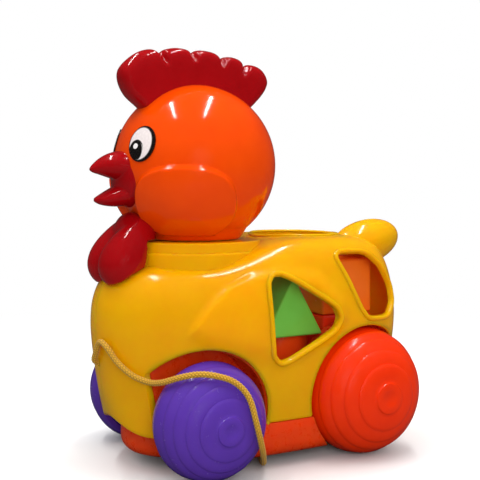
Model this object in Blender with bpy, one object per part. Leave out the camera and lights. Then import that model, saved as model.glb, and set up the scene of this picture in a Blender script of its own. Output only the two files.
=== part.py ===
"""Pull-along chicken toy with sorting blocks in its body. Metres, +Z up.

The chicken faces -Y, its left side is +X, and it stands on its wheels at Z = 0.
The origin is on the ground under the middle of the toy.
"""

import math

import bpy
import numpy as np
from mathutils import Matrix, Vector

MM = 0.001

# General fits
GAP = 0.3 * MM
SEAM = 0.15 * MM
SLIDE_FIT = 0.4 * MM
MAKE_SURE = 1.0 * MM
OUTSIDE = 150 * MM

# Body shell
BODY_HALF_WIDTH = 52 * MM
BODY_MIDDLE_Y = -7.5 * MM
CHEST_LENGTH = 90.5 * MM
RUMP_LENGTH = 87.5 * MM
CHEST_SQUARENESS = 2.15
RUMP_SQUARENESS = 3.4
BODY_WALL = 2.2 * MM
BODY_EDGE_Z = 25 * MM
EDGE_RISE = 2.5 * MM
FENDER_DROP = 5 * MM
FENDER_START_DEG = 34
FENDER_END_DEG = 50
FENDER_FADE_DEG = 16
SHOULDER_Z = 109.5 * MM
BACK_RISE = 11 * MM
BACK_RISE_START_Y = -52 * MM
BACK_RISE_LENGTH = 62 * MM
BACK_RISE_FROM_Z = 84 * MM

# Collar and tail
NECK_Y = -39.7 * MM
COLLAR_RADIUS = 38.5 * MM
COLLAR_STEP = 2.0 * MM
COLLAR_DEPTH = 30 * MM
COLLAR_STEP_Z = 114 * MM
COLLAR_TOP_Z = 119.2 * MM
COLLAR_EDGE = 1.0 * MM
TAIL_CENTRE = Vector((0, 77.6, 113.5)) * MM
TAIL_HALF = Vector((14.5, 24.0, 13.5)) * MM
TAIL_TILT = math.radians(14)

# Windows, given on the chicken's side as (Y, Z), and the opening in its back
TRIANGLE_WINDOW = [(-18.6, 102.0), (-21.4, 97.5), (-19.0, 61.5), (-14.5, 57.0), (-9.0, 58.0),
                   (8.0, 66.5), (19.0, 72.6), (21.4, 78.0), (18.5, 83.8), (-13.5, 102.6)]
RUMP_WINDOW = [(23.0, 112.0), (31.0, 98.0), (39.0, 82.0), (44.5, 76.3), (61.0, 75.5),
               (67.5, 82.5), (66.5, 91.0), (57.5, 103.5), (46.0, 111.7)]
WINDOW_REACH_X = 24 * MM
BACK_HOLE_Y = 25.3 * MM
BACK_HOLE_RADIUS = 25 * MM
BACK_HOLE_FACETS = 36

# Wing raised on each side: its outline as (Y, Z), with how far each edge rolls in
WING_OUTLINE = [(-66.0, 71.0), (-62.5, 80.0), (-55.0, 90.0), (-45.0, 98.5), (-27.0, 105.5), (-8.0, 108.5),
                (12.0, 105.5), (29.0, 88.0), (31.0, 76.0), (20.0, 64.0), (-16.0, 51.0), (-48.0, 60.0)]
WING_ROLLS = [3, 3, 3, 3, 5, 9, 9, 9, 9, 9, 14, 10]
WING_HEIGHT = 2.6 * MM

# Wheels and axles
FRONT_AXLE_Y = -53.5 * MM
REAR_AXLE_Y = 43.0 * MM
FRONT_WHEEL_RADIUS = 30 * MM
REAR_WHEEL_RADIUS = 34.8 * MM
FRONT_WHEEL_INNER_X = 38 * MM
REAR_WHEEL_INNER_X = 35.5 * MM
WHEEL_RIM_WIDTH = 5.5 * MM
WHEEL_DOME_START = 3.5 * MM
FRONT_WHEEL_OUTER_X = 69.1 * MM
REAR_WHEEL_OUTER_X = 69.1 * MM
WHEEL_WALL = 2.2 * MM
WHEEL_RINGS_DEG = [0, 16, 31, 46, 61, 76]
WHEEL_STEP = 0.5 * MM
WHEEL_FULLNESS = 0.89
WHEEL_LIP = 2.4 * MM
HUB_RADIUS = 4.6 * MM
HUB_WALL_END = 10 * MM
AXLE_RADIUS = 2 * MM
CAP_THICKNESS = 1.8 * MM

# Base tray with its wheel wells
BASE_BOTTOM_Z = 6 * MM
BASE_ROLL = 8 * MM
BASE_WALL = 2.2 * MM
DECK_TOP_Z = 44 * MM
BASE_SET_BACK = 10 * MM
SET_BACK_END_DEG = 38
SET_BACK_FADE_DEG = 14
FRONT_ARCH_Y = -54.6 * MM
FRONT_ARCH_Z = 31.2 * MM
FRONT_ARCH_RADIUS = 34.2 * MM
REAR_ARCH_RADIUS = 36.5 * MM
WELL_WALL = 1.8 * MM
FRONT_WELL_X = 27 * MM
REAR_WELL_X = 31 * MM
WELL_SIDE_WALL = 2.0 * MM
AXLE_BOSS_RADIUS = 5 * MM
AXLE_BOSS_LENGTH = 7 * MM

# Screws that hold the body to the base, each in a short post with a rib to the end wall
POSTS = [(18, -64), (17, 64)]
POST_RADIUS = 3.4 * MM
POST_HEIGHT = 15 * MM
RIB_THICKNESS = 1.8 * MM
SCREW_RADIUS = 1.2 * MM
SCREW_LENGTH = 10 * MM
SCREW_HEAD_RADIUS = 2.8 * MM
SCREW_HEAD_HEIGHT = 2.0 * MM

# Head
HEAD_RADIUS = 45 * MM
HEAD_WALL = 2.2 * MM
HEAD_SKIRT_SHARE = 26 / 45
HEAD_SKIRT_RADIUS = HEAD_RADIUS * HEAD_SKIRT_SHARE
HEAD_BOTTOM_Z = 119.8 * MM
HEAD_SUNK = 4.8 * MM
HEAD_CENTRE_Z = HEAD_BOTTOM_Z + HEAD_RADIUS - HEAD_SUNK
HEAD_CENTRE = Vector((0, round(NECK_Y / MM, 6), round(HEAD_CENTRE_Z / MM, 6))) * MM
CHEEK_AZIMUTH = math.radians(56)
CHEEK_ELEVATION = math.radians(-29)
CHEEK_SPREAD_ACROSS = math.radians(37)
CHEEK_SPREAD_UP = math.radians(29)
CHEEK_SQUARENESS = 3
CHEEK_SLOPE = 0.55
CHEEK_HEIGHT = 4.2 * MM
NECK_RADIUS = 19 * MM
NECK_WALL = 2.2 * MM
NECK_FLANGE_RADIUS = 25 * MM
NECK_FLANGE_THICKNESS = 2.2 * MM
COLLAR_PLATE = BODY_WALL

# What is mounted on the head is drawn for a head of this size, and moves with a larger or smaller one
DRAWN_RADIUS = 45 * MM
DRAWN_CENTRE_Z = 160 * MM
HEAD_GROWTH = HEAD_RADIUS - DRAWN_RADIUS
BEAK_SHIFT = Vector((0, -HEAD_GROWTH, HEAD_CENTRE_Z - DRAWN_CENTRE_Z))
WATTLE_SHARE = 0.7
WATTLE_RISE = HEAD_CENTRE_Z - DRAWN_CENTRE_Z - HEAD_GROWTH * WATTLE_SHARE
WATTLE_SHIFT = Vector((0, -HEAD_GROWTH * WATTLE_SHARE, WATTLE_RISE))

# Comb, as (angle back from the top in degrees, reach from the head's centre in mm)
COMB_OUTLINE = [(-47.0, 44), (-47.7, 55), (-45.7, 62), (-42.6, 67), (-36, 69.7), (-28, 69.9), (-19.8, 65.3),
                (-16, 66.1), (-11, 65.8), (-6, 64.6), (-2.9, 62.2), (0.2, 63.8), (5, 64.5), (10, 64.1),
                (14.3, 62.1), (17.5, 64.8), (23, 66.2), (28, 64.6), (32, 68.4), (37.3, 69.6),
                (43.3, 65.9), (45.6, 57), (45.0, 44)]
COMB_SPINE = 56
COMB_SPINE_ENDS = (-41, 39)
COMB_HALF_THICKNESS = 8 * MM
COMB_ROUNDING = [(-1, 0.72), (-0.9, 0.87), (-0.6, 0.97), (0, 1), (0.6, 0.97), (0.9, 0.87), (1, 0.72)]
PEG_RADIUS = 3 * MM
COMB_PEG_ANGLES = [-28, 22]
PEG_DEPTH = 7 * MM

# Beak, each section as (Y, lower Z, upper Z, half width) from root to tip, in mm
UPPER_BEAK = [(-74, 149, 167, 13), (-84, 151.2, 167.6, 12), (-90, 153.0, 166.3, 9.6),
              (-95, 154.6, 163.8, 6.6), (-99, 155.8, 160.6, 3.2), (-101.1, 156.7, 158.2, 0.9)]
LOWER_BEAK = [(-74, 139, 152, 11.5), (-84, 137.9, 150.2, 10.5), (-90, 138.0, 147.4, 8.2),
              (-95, 138.9, 144.6, 5.2), (-98.6, 140.6, 142.4, 1.2)]
BEAK_SADDLE_CENTRE = Vector((0, -79, 152.8)) * MM + BEAK_SHIFT
BEAK_SADDLE_HALF = Vector((15.5, 8.5, 15.4)) * MM
BEAK_PEG_RADIUS = 4 * MM

# Wattle
WATTLE_CENTRE = Vector((8, -80.7, 115.8)) * MM + WATTLE_SHIFT
WATTLE_HALF = Vector((11.6, 12, 22.7)) * MM
WATTLE_TILT = math.radians(-32)
WATTLE_TAPER = 0.42
WATTLE_ROOT_CENTRE = Vector((0, -77, 123)) * MM + WATTLE_SHIFT
WATTLE_ROOT_HALF = Vector((13, 10, 12)) * MM
WATTLE_PEG_Z = 130 * MM + WATTLE_SHIFT.z
WATTLE_CLEARANCE = 1.0 * MM

# Eyes
EYE_AZIMUTH = math.radians(25) * DRAWN_RADIUS / HEAD_RADIUS
EYE_ELEVATION = math.radians(14) * DRAWN_RADIUS / HEAD_RADIUS
EYE_HALF_WIDTH = 9 * MM
EYE_HALF_HEIGHT = 9.8 * MM
EYE_THICKNESS = 0.4 * MM

# Sorting blocks
BLOCK_SIDE = 34 * MM
BLOCK_DEPTH = 31 * MM
BLOCK_BEVEL = 1.5 * MM
FRONT_STACK_Y = 6.5 * MM
REAR_STACK_Y = 43 * MM
STACK_X = 13 * MM
PRISM_X = 22 * MM
PRISM_Y = 2.5 * MM
DISC_HEIGHT = 22 * MM
PRISM_SIDE = 38 * MM

# Pull cord: its hole in the chest, and the route of its free part, chosen by hand
CORD_RADIUS = 1.6 * MM
CORD_HOLE_Z = 56 * MM
CORD_HOLE_RADIUS = 2.2 * MM
STOP_KNOT_RADIUS = 4 * MM
CORD_ROUTE = [(0, -90.5, 56), (0, -96, 56), (1.2, -98.8, 57.6), (5, -99.3, 62.5), (10, -99, 68.3),
              (15.5, -97.5, 66.5), (20, -94.3, 60.3), (23.5, -91.5, 56.6), (27.2, -88, 53.2),
              (30.5, -84.4, 51.2), (34.5, -81.3, 50.3), (39.5, -79.7, 50.9), (45.3, -77.8, 52.5),
              (52.7, -72.4, 55.6), (58, -65.6, 57.2), (61.8, -58.8, 56.5), (64.8, -51.3, 53.9),
              (67.2, -46.1, 49.4), (69.2, -43, 43.3), (70.6, -41, 34.4), (69.6, -38.1, 25.3),
              (64.8, -33.7, 16.8), (54, -26.8, 8.6), (43.5, -21, 3.4), (34, -16.5, 1.95),
              (18, -10, 1.8), (-4, -6, 1.8), (-28, -5.5, 1.8), (-50, -7.5, 2), (-66, -12.5, 2.5),
              (-80, -20.5, 2.8)]
CORD_STEP = 7.4 * MM
COIL_CENTRE = Vector((-94, -2.5, 2.8)) * MM
COIL_OUTER_RADIUS = 22.2 * MM
COIL_TURNS = 2.3
COIL_PITCH = 3.9 * MM
COIL_END_DROP = 5.5 * MM
COIL_POINTS_PER_TURN = 24
END_KNOT_RADIUS = 3.4 * MM
TIE_THICKNESS = 0.8 * MM
TIE_WIDTH = 3 * MM
TIE_TURN = 1.62

# Facets
BODY_FACETS = 44
HEAD_FACETS = 26
HEAD_LEVELS = [math.radians(a) for a in range(80, -55, -10)]
CLEARANCE_FACETS = 48
WHEEL_FACETS = 24
HOLE_FACETS = 12
EYE_FACETS = 16


def clear_scene():
    for item in list(bpy.data.objects):
        bpy.data.objects.remove(item, do_unlink=True)


def colour(code):
    """Linear colour of a hex sRGB code."""
    channels = [int(code[i : i + 2], 16) / 255 for i in (0, 2, 4)]
    return [c / 12.92 if c <= 0.04045 else ((c + 0.055) / 1.055) ** 2.4 for c in channels] + [1]


def material(name, code, roughness, metallic=0.0):
    made = bpy.data.materials.new(name)
    made.use_nodes = True
    shader = made.node_tree.nodes["Principled BSDF"]
    shader.inputs["Base Color"].default_value = colour(code)
    shader.inputs["Roughness"].default_value = roughness
    shader.inputs["Metallic"].default_value = metallic
    return made


def add_object(name, points, faces, finish=None, smooth=True):
    mesh = bpy.data.meshes.new(name)
    mesh.from_pydata([tuple(p) for p in points], [], faces)
    mesh.validate()
    made = bpy.data.objects.new(name, mesh)
    bpy.context.scene.collection.objects.link(made)
    dress(made, finish, smooth)
    return made


def dress(item, finish, smooth=True):
    item.data.materials.clear()
    if finish:
        item.data.materials.append(finish)
    if smooth:
        item.data.shade_smooth()
        item.data.set_sharp_from_angle(angle=math.radians(35))


def loft(name, rings, finish=None, close=False, smooth=True):
    """Closed solid through rings of equal count. A ring that is one point closes to a tip."""
    points, starts = [], []
    for ring in rings:
        starts.append(len(points))
        points.extend(ring)
    faces = []
    pairs = list(zip(range(len(rings)), range(1, len(rings))))
    if close:
        pairs.append((len(rings) - 1, 0))
    for low, high in pairs:
        faces.extend(band(starts[low], len(rings[low]), starts[high], len(rings[high])))
    if not close:
        if len(rings[0]) > 1:
            faces.append(list(range(starts[0], starts[0] + len(rings[0])))[::-1])
        if len(rings[-1]) > 1:
            faces.append(list(range(starts[-1], starts[-1] + len(rings[-1]))))
    made = add_object(name, points, faces, finish, smooth)
    face_outwards(made)
    return made


def band(low, low_count, high, high_count):
    """Faces between two rings, or between a ring and a tip."""
    count = max(low_count, high_count)
    faces = []
    for i in range(count):
        j = (i + 1) % count
        if low_count == 1:
            faces.append((low, high + j, high + i))
        elif high_count == 1:
            faces.append((low + i, low + j, high))
        else:
            faces.append((low + i, low + j, high + j, high + i))
    return faces


def face_outwards(item):
    """Turn the whole mesh inside out where its volume comes out negative."""
    mesh = item.data
    mesh.calc_loop_triangles()
    corners = np.array([v.co for v in mesh.vertices])
    triangles = np.array([t.vertices for t in mesh.loop_triangles])
    a, b, c = (corners[triangles[:, k]] for k in range(3))
    if np.einsum("ij,ij->i", a, np.cross(b, c)).sum() < 0:
        mesh.flip_normals()


def turned(name, profile, facets, axis="Z", centre=(0, 0, 0), finish=None, close=False):
    """Solid of revolution. The profile is (along the axis, radius) and ends may lie on the axis."""
    rings = []
    for along, radius in profile:
        if radius < 1e-7:
            rings.append([place(axis, along, 0, 0, centre)])
            continue
        angles = [2 * math.pi * i / facets for i in range(facets)]
        ring = [place(axis, along, radius * math.cos(t), radius * math.sin(t), centre) for t in angles]
        rings.append(ring)
    return loft(name, rings, finish, close)


def place(axis, along, across, up, centre):
    if axis == "X":
        point = (along, across, up)
    elif axis == "Y":
        point = (across, along, up)
    else:
        point = (across, up, along)
    return tuple(p + c for p, c in zip(point, centre))


def rod(name, axis, start, end, radius, centre=(0, 0, 0), facets=HOLE_FACETS, finish=None):
    return turned(name, [(start, radius), (end, radius)], facets, axis, centre, finish)


def ellipsoid(name, centre, half, tilt=0.0, taper=0.0, facets=18, levels=9):
    """Rounded lobe; with a taper it is narrower at the top than at the bottom."""
    rings = []
    turn = Matrix.Rotation(tilt, 3, "X")
    for i in range(levels + 1):
        rise = -math.pi / 2 + math.pi * i / levels
        if i in (0, levels):
            rings.append([centre + turn @ Vector((0, 0, half.z * math.sin(rise)))])
            continue
        ring = []
        width = math.cos(rise) * (1 - taper * math.sin(rise))
        for j in range(facets):
            t = 2 * math.pi * j / facets
            flat = Vector((half.x * math.cos(t), half.y * math.sin(t), 0)) * width
            ring.append(centre + turn @ (flat + Vector((0, 0, half.z * math.sin(rise)))))
        rings.append(ring)
    return loft(name, rings)


def prism_along_x(name, outline, x_start, x_end):
    rings = [[(x, y * MM, z * MM) for y, z in outline] for x in (x_start, x_end)]
    return loft(name, rings, smooth=False)


def box(name, low, high):
    corners = [(low[0], low[1]), (high[0], low[1]), (high[0], high[1]), (low[0], high[1])]
    rings = [[(x, y, z) for x, y in corners] for z in (low[2], high[2])]
    return loft(name, rings, smooth=False)


def combine(target, other, operation):
    """One Boolean between two solids. The other solid is used up."""
    modifier = target.modifiers.new(operation.title(), "BOOLEAN")
    modifier.operation = operation
    modifier.solver = "EXACT"
    modifier.object = other
    bpy.context.view_layer.update()
    result = bpy.data.meshes.new_from_object(target.evaluated_get(bpy.context.evaluated_depsgraph_get()))
    target.modifiers.clear()
    target.data = result
    bpy.data.objects.remove(other, do_unlink=True)
    return target


def cut(target, *others):
    for other in others:
        combine(target, other, "DIFFERENCE")
    return target


def join(target, *others):
    for other in others:
        combine(target, other, "UNION")
    return target


def keep(target, other):
    return combine(target, other, "INTERSECT")


def copy_of(item, name):
    made = bpy.data.objects.new(name, item.data.copy())
    bpy.context.scene.collection.objects.link(made)
    return made


def smooth_step(value):
    t = min(max(value, 0.0), 1.0)
    return t * t * (3 - 2 * t)


# Body shape

# From the lower edge to the middle of the back: share of the plan outline, and height in mm
BODY_PROFILE = [(0.92, 25), (0.955, 40), (0.982, 56), (0.998, 69), (1.0, 79), (0.988, 88), (0.952, 96.5),
                (0.89, 102.8), (0.8, 106.6), (0.68, 108.7), (0.5, 109.4), (0.26, 109.5)]


def outline_point(turn, share, inset):
    """Plan outline at an angle from the front (-Y) round by the left (+X)."""
    forward = math.cos(turn)
    side = math.sin(turn)
    length = (CHEST_LENGTH if forward > 0 else RUMP_LENGTH) - inset
    power = 2 / (CHEST_SQUARENESS if forward > 0 else RUMP_SQUARENESS)
    x = math.copysign(abs(side) ** power, side) * (BODY_HALF_WIDTH - inset) * share
    y = BODY_MIDDLE_Y - math.copysign(abs(forward) ** power, forward) * length * share
    return x, y


def back_rise(y, z):
    along = smooth_step((y - BACK_RISE_START_Y) / BACK_RISE_LENGTH)
    return BACK_RISE * along * smooth_step((z - BACK_RISE_FROM_Z) / (SHOULDER_Z - BACK_RISE_FROM_Z))


def edge_distance(y, z, start, end):
    """Distance inwards from one edge of an outline that runs clockwise in (Y, Z)."""
    along = Vector((end[0] - start[0], end[1] - start[1])).normalized()
    offset = Vector((y - start[0], z - start[1]))
    return along.x * -offset.y + along.y * offset.x


def wing_height(y, z):
    """How far the wing stands out of the body's side, 0 outside its outline."""
    y, z = y / MM, z / MM
    share = 1.0
    for i, start in enumerate(WING_OUTLINE):
        end = WING_OUTLINE[(i + 1) % len(WING_OUTLINE)]
        share = min(share, smooth_step(edge_distance(y, z, start, end) / WING_ROLLS[i]))
    return WING_HEIGHT * share


def body_turns():
    return [2 * math.pi * (i + 0.5) / BODY_FACETS for i in range(BODY_FACETS)]


def body_point(turn, share, height, inset):
    x, y = outline_point(turn, share, inset)
    z = height + back_rise(y, height)
    if inset == 0 and abs(x) > BODY_HALF_WIDTH * 0.5:
        x += math.copysign(wing_height(y, z), x)
    return x, y, z - (inset if share < 0.6 else inset * smooth_step((height - 80 * MM) / (25 * MM)))


def body_solid(name, inset, lowest=None):
    """The body's outer form, or the hollow inside it for an inset."""
    turns = body_turns()
    rings = []
    share = BODY_PROFILE[0][0]
    if lowest is not None:
        rings.append([(*outline_point(t, share, inset), lowest) for t in turns])
    else:
        for set_in in (BASE_SET_BACK, 0):
            rings.append([(*outline_point(t, share, set_in), edge_z(t)) for t in turns])
    for share, height in BODY_PROFILE[::2] + BODY_PROFILE[-1:] if inset else BODY_PROFILE[1:]:
        rings.append([body_point(t, share, height * MM, inset) for t in turns])
    rings.append([(0, BODY_MIDDLE_Y, SHOULDER_Z + back_rise(BODY_MIDDLE_Y, SHOULDER_Z) - inset)])
    return loft(name, rings)


# Base tray


def well_cylinder(name, side, axle_y, axle_z, radius, start_x, end_x, facets=28):
    start, end = sorted((side * start_x, side * end_x))
    return rod(name, "X", start, end, radius, (0, axle_y, axle_z), facets)


def wells():
    """Each well as (side, Y, Z, radius of the arch, X of its inner wall)."""
    for side in (1, -1):
        yield side, FRONT_ARCH_Y, FRONT_ARCH_Z, FRONT_ARCH_RADIUS, FRONT_WELL_X
        yield side, REAR_AXLE_Y, REAR_WHEEL_RADIUS, REAR_ARCH_RADIUS, REAR_WELL_X


def axle_bosses(reach):
    """Bearings of the axles, on the inner walls of the wells."""
    bosses = []
    for side in (1, -1):
        for y, z, wall_x in ((FRONT_AXLE_Y, FRONT_WHEEL_RADIUS, FRONT_WELL_X),
                             (REAR_AXLE_Y, REAR_WHEEL_RADIUS, REAR_WELL_X)):
            bosses.append(well_cylinder("boss", side, y, z, AXLE_BOSS_RADIUS, wall_x - AXLE_BOSS_LENGTH,
                                        wall_x + reach, HOLE_FACETS * 2))
    return bosses


def from_front(turn):
    """Degrees from the front, either way round."""
    return abs((math.degrees(turn) + 180) % 360 - 180)


def edge_z(turn):
    """The body's lower edge: a little raised at the middle of the chest and low in front of the wheels."""
    away = from_front(turn)
    low = smooth_step(away / FENDER_START_DEG) - smooth_step((away - FENDER_END_DEG) / FENDER_FADE_DEG)
    rise = EDGE_RISE * (1 - smooth_step(away / FENDER_START_DEG))
    return BODY_EDGE_Z + rise - FENDER_DROP * low


def base_rings(levels):
    """Rings of the base, each from a level: (set in, height, set back under the chest, lift where set back).
    Heights between the roll and the body's edge follow that edge."""
    share = BODY_PROFILE[0][0]
    rings = []
    for inset, z, set_back, lift in levels:
        ring = []
        for t in body_turns():
            back = 1 - smooth_step((from_front(t) - SET_BACK_END_DEG) / SET_BACK_FADE_DEG)
            follow = edge_z(t) - BODY_EDGE_Z if BASE_BOTTOM_Z + BASE_ROLL < z <= BODY_EDGE_Z else 0
            ring.append((*outline_point(t, share, inset + set_back * back), z + lift * back + follow))
        rings.append(ring)
    return rings


def envelope(name, levels, inset):
    """Skirt below the body's edge, and above it the form that fits inside the body."""
    rings = base_rings(levels)
    foot = BODY_PROFILE[0][0]
    rings.append([(*outline_point(t, foot, inset), max(BODY_EDGE_Z, edge_z(t))) for t in body_turns()])
    for share, height in BODY_PROFILE[2:7:2]:
        rings.append([body_point(t, share, height * MM, inset) for t in body_turns()])
    return loft(name, rings)


def base_tray(finish):
    lip = BODY_WALL + SLIDE_FIT
    top = BODY_EDGE_Z - GAP
    back = BASE_SET_BACK
    skirt = [(BASE_ROLL, BASE_BOTTOM_Z, back, 0),
             (BASE_ROLL * 0.3, BASE_BOTTOM_Z + BASE_ROLL * 0.4, back, 0),
             (0, BASE_BOTTOM_Z + BASE_ROLL, back, 0), (0, top, back, 0), (lip, top, 0, 0)]
    tray = envelope("base_tray", skirt, lip)
    mask = box("mask", (-OUTSIDE, -OUTSIDE, -OUTSIDE), (OUTSIDE, OUTSIDE, DECK_TOP_Z))
    for side, y, z, arch, wall_x in wells():
        join(mask, well_cylinder("liner", side, y, z, arch - GAP + WELL_WALL, wall_x, 0.9 * OUTSIDE))
    keep(tray, mask)
    mouth = BASE_ROLL + BASE_WALL
    inner_lip = lip + BASE_WALL
    ramp = inner_lip + BASE_WALL
    hollow = loft("hollow", base_rings([(mouth, -BASE_BOTTOM_Z, back, 0), (mouth, BASE_BOTTOM_Z, back, 0),
                                        (BASE_WALL, BASE_BOTTOM_Z + BASE_ROLL, back, 0),
                                        (BASE_WALL, top - inner_lip, back, ramp),
                                        (inner_lip, top - BASE_WALL, 0, 2 * BASE_WALL),
                                        (inner_lip, DECK_TOP_Z - BASE_WALL, 0, 0)]))
    for side, y, z, arch, wall_x in wells():
        cut(hollow, well_cylinder("solid_well", side, y, z, arch - GAP + WELL_WALL, wall_x, OUTSIDE))
    for boss in axle_bosses(MAKE_SURE):
        cut(hollow, boss)
    cut(tray, hollow)
    for side, y, z, arch, wall_x in wells():
        cut(tray, well_cylinder("well", side, y, z, arch - GAP, wall_x + WELL_SIDE_WALL, OUTSIDE))
    for y, z in ((FRONT_AXLE_Y, FRONT_WHEEL_RADIUS), (REAR_AXLE_Y, REAR_WHEEL_RADIUS)):
        cut(tray, rod("bore", "X", -BODY_HALF_WIDTH, BODY_HALF_WIDTH, AXLE_RADIUS + GAP, (0, y, z)))
    for x, y in screw_places():
        cut(tray, rod("screw_hole", "Z", DECK_TOP_Z - BASE_WALL - MAKE_SURE, DECK_TOP_Z + MAKE_SURE,
                      SCREW_RADIUS + GAP, (x, y, 0)))
    dress(tray, finish)


def screw_places():
    return [(side * x * MM, y * MM) for x, y in POSTS for side in (1, -1)]


# Body shells


def collar(name, inset):
    foot = COLLAR_TOP_Z - COLLAR_DEPTH
    top = COLLAR_TOP_Z - inset
    upper = COLLAR_RADIUS - COLLAR_STEP - inset
    profile = [(foot, COLLAR_RADIUS - inset), (COLLAR_STEP_Z - inset, COLLAR_RADIUS - inset),
               (COLLAR_STEP_Z + COLLAR_EDGE - inset, upper), (top - COLLAR_EDGE, upper),
               (top, upper - COLLAR_EDGE)]
    return turned(name, profile, HEAD_FACETS + 8, "Z", (0, NECK_Y, 0))


def body_shells(finish):
    shell = body_solid("body_shell", 0)
    join(shell, collar("collar", 0), ellipsoid("tail", TAIL_CENTRE, TAIL_HALF, TAIL_TILT))
    hollow = body_solid("hollow", BODY_WALL, lowest=BASE_BOTTOM_Z)
    wall = Vector((BODY_WALL, BODY_WALL, BODY_WALL))
    join(hollow, collar("collar_hollow", BODY_WALL))
    join(hollow, ellipsoid("tail_hollow", TAIL_CENTRE, TAIL_HALF - wall, TAIL_TILT))
    cut(shell, hollow)
    for x, y in screw_places():
        post = rod("post", "Z", DECK_TOP_Z + GAP, DECK_TOP_Z + POST_HEIGHT, POST_RADIUS, (x, y, 0))
        far = y + math.copysign(40 * MM, y)
        rib = box("rib", (x - RIB_THICKNESS / 2, min(y, far), DECK_TOP_Z + 2 * GAP),
                  (x + RIB_THICKNESS / 2, max(y, far), DECK_TOP_Z + POST_HEIGHT - MAKE_SURE))
        join(post, keep(rib, body_solid("limit", BODY_WALL / 2)))
        join(shell, post)
        cut(shell, rod("post_bore", "Z", DECK_TOP_Z - MAKE_SURE, DECK_TOP_Z + SCREW_LENGTH,
                       SCREW_RADIUS + GAP, (x, y, 0)))
    cut(shell, rod("neck_hole", "Z", COLLAR_TOP_Z - 10 * MM, COLLAR_TOP_Z + 10 * MM, NECK_RADIUS + SLIDE_FIT,
                   (0, NECK_Y, 0), HEAD_FACETS))
    cut(shell, rod("back_hole", "Z", SHOULDER_Z, SHOULDER_Z + BACK_HOLE_RADIUS, BACK_HOLE_RADIUS,
                   (0, BACK_HOLE_Y, 0), BACK_HOLE_FACETS))
    cut(shell, rod("cord_hole", "Y", -OUTSIDE, -CHEST_LENGTH / 2, CORD_HOLE_RADIUS, (0, 0, CORD_HOLE_Z)))
    for side, y, z, arch, wall_x in wells():
        cut(shell, well_cylinder("arch", side, y, z, arch, wall_x + WELL_SIDE_WALL, OUTSIDE))
    for side in (1, -1):
        for outline in (TRIANGLE_WINDOW, RUMP_WINDOW):
            ends = sorted((side * WINDOW_REACH_X, side * OUTSIDE))
            cut(shell, prism_along_x("window", outline, *ends))
    split(shell, "body", finish)


def split(shell, name, finish):
    """Left and right halves, with the seam between them."""
    for half, low, high in (("left", SEAM, OUTSIDE), ("right", -OUTSIDE, -SEAM)):
        side = box("side", (low, -OUTSIDE, 0), (high, OUTSIDE, 2 * OUTSIDE))
        piece = keep(copy_of(shell, f"{name}_{half}_shell"), side)
        dress(piece, finish)
    bpy.data.objects.remove(shell, do_unlink=True)


# Head


def direction(azimuth, elevation):
    """Unit vector at an angle from the front (-Y) round by the left (+X), and up."""
    flat = math.cos(elevation)
    return Vector((math.sin(azimuth) * flat, -math.cos(azimuth) * flat, math.sin(elevation)))


def cheek_height(way):
    """Height of the raised cheek in a direction from the head's centre; its outline is a squarish oval."""
    side = 1 if way.x > 0 else -1
    middle = direction(side * CHEEK_AZIMUTH, CHEEK_ELEVATION)
    across = Vector((0, 0, 1)).cross(middle).normalized()
    up = middle.cross(across)
    ahead = way.dot(middle)
    wide = math.atan2(abs(way.dot(across)), ahead) / CHEEK_SPREAD_ACROSS
    high = math.atan2(abs(way.dot(up)), ahead) / CHEEK_SPREAD_UP
    inwards = 1 - (wide ** CHEEK_SQUARENESS + high ** CHEEK_SQUARENESS) ** (1 / CHEEK_SQUARENESS)
    return CHEEK_HEIGHT * smooth_step(inwards / CHEEK_SLOPE)


def head_ring(elevation, inset, cheeks=True):
    ring = []
    for i in range(HEAD_FACETS):
        way = direction(2 * math.pi * (i + 0.5) / HEAD_FACETS, elevation)
        bump = cheek_height(way) if cheeks else 0
        ring.append(HEAD_CENTRE + way * (HEAD_RADIUS - inset + bump))
    return ring


def neck_ring(z, radius):
    turns = [2 * math.pi * (i + 0.5) / HEAD_FACETS for i in range(HEAD_FACETS)]
    return [(math.sin(t) * radius, NECK_Y - math.cos(t) * radius, z) for t in turns]


def head_shell_rings():
    """Outer skin from the crown down, round the neck and its flange, and back up inside."""
    lowest = COLLAR_TOP_Z - COLLAR_PLATE - SLIDE_FIT
    neck = [(HEAD_BOTTOM_Z, HEAD_SKIRT_RADIUS), (HEAD_BOTTOM_Z, NECK_RADIUS), (lowest, NECK_RADIUS),
            (lowest, NECK_FLANGE_RADIUS), (lowest - NECK_FLANGE_THICKNESS, NECK_FLANGE_RADIUS),
            (lowest - NECK_FLANGE_THICKNESS, NECK_RADIUS - NECK_WALL),
            (HEAD_BOTTOM_Z + HEAD_WALL, NECK_RADIUS - NECK_WALL),
            (HEAD_BOTTOM_Z + HEAD_WALL, HEAD_SKIRT_RADIUS - HEAD_WALL)]
    rings = [[HEAD_CENTRE + Vector((0, 0, HEAD_RADIUS))]]
    rings += [head_ring(a, 0) for a in HEAD_LEVELS]
    rings += [neck_ring(z, radius) for z, radius in neck]
    rings += [head_ring(a, HEAD_WALL, cheeks=False) for a in reversed(HEAD_LEVELS[::2])]
    rings.append([HEAD_CENTRE + Vector((0, 0, HEAD_RADIUS - HEAD_WALL))])
    return rings


def peg(name, way, radius, start, end):
    """A round peg along a line from the head's centre."""
    made = rod(name, "Z", start, end, radius)
    made.data.transform(Vector((0, 0, 1)).rotation_difference(way).to_matrix().to_4x4())
    made.data.transform(Matrix.Translation(HEAD_CENTRE))
    return made


def comb_way(angle):
    turn = math.radians(angle)
    return Vector((0, math.sin(turn), math.cos(turn)))


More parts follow.
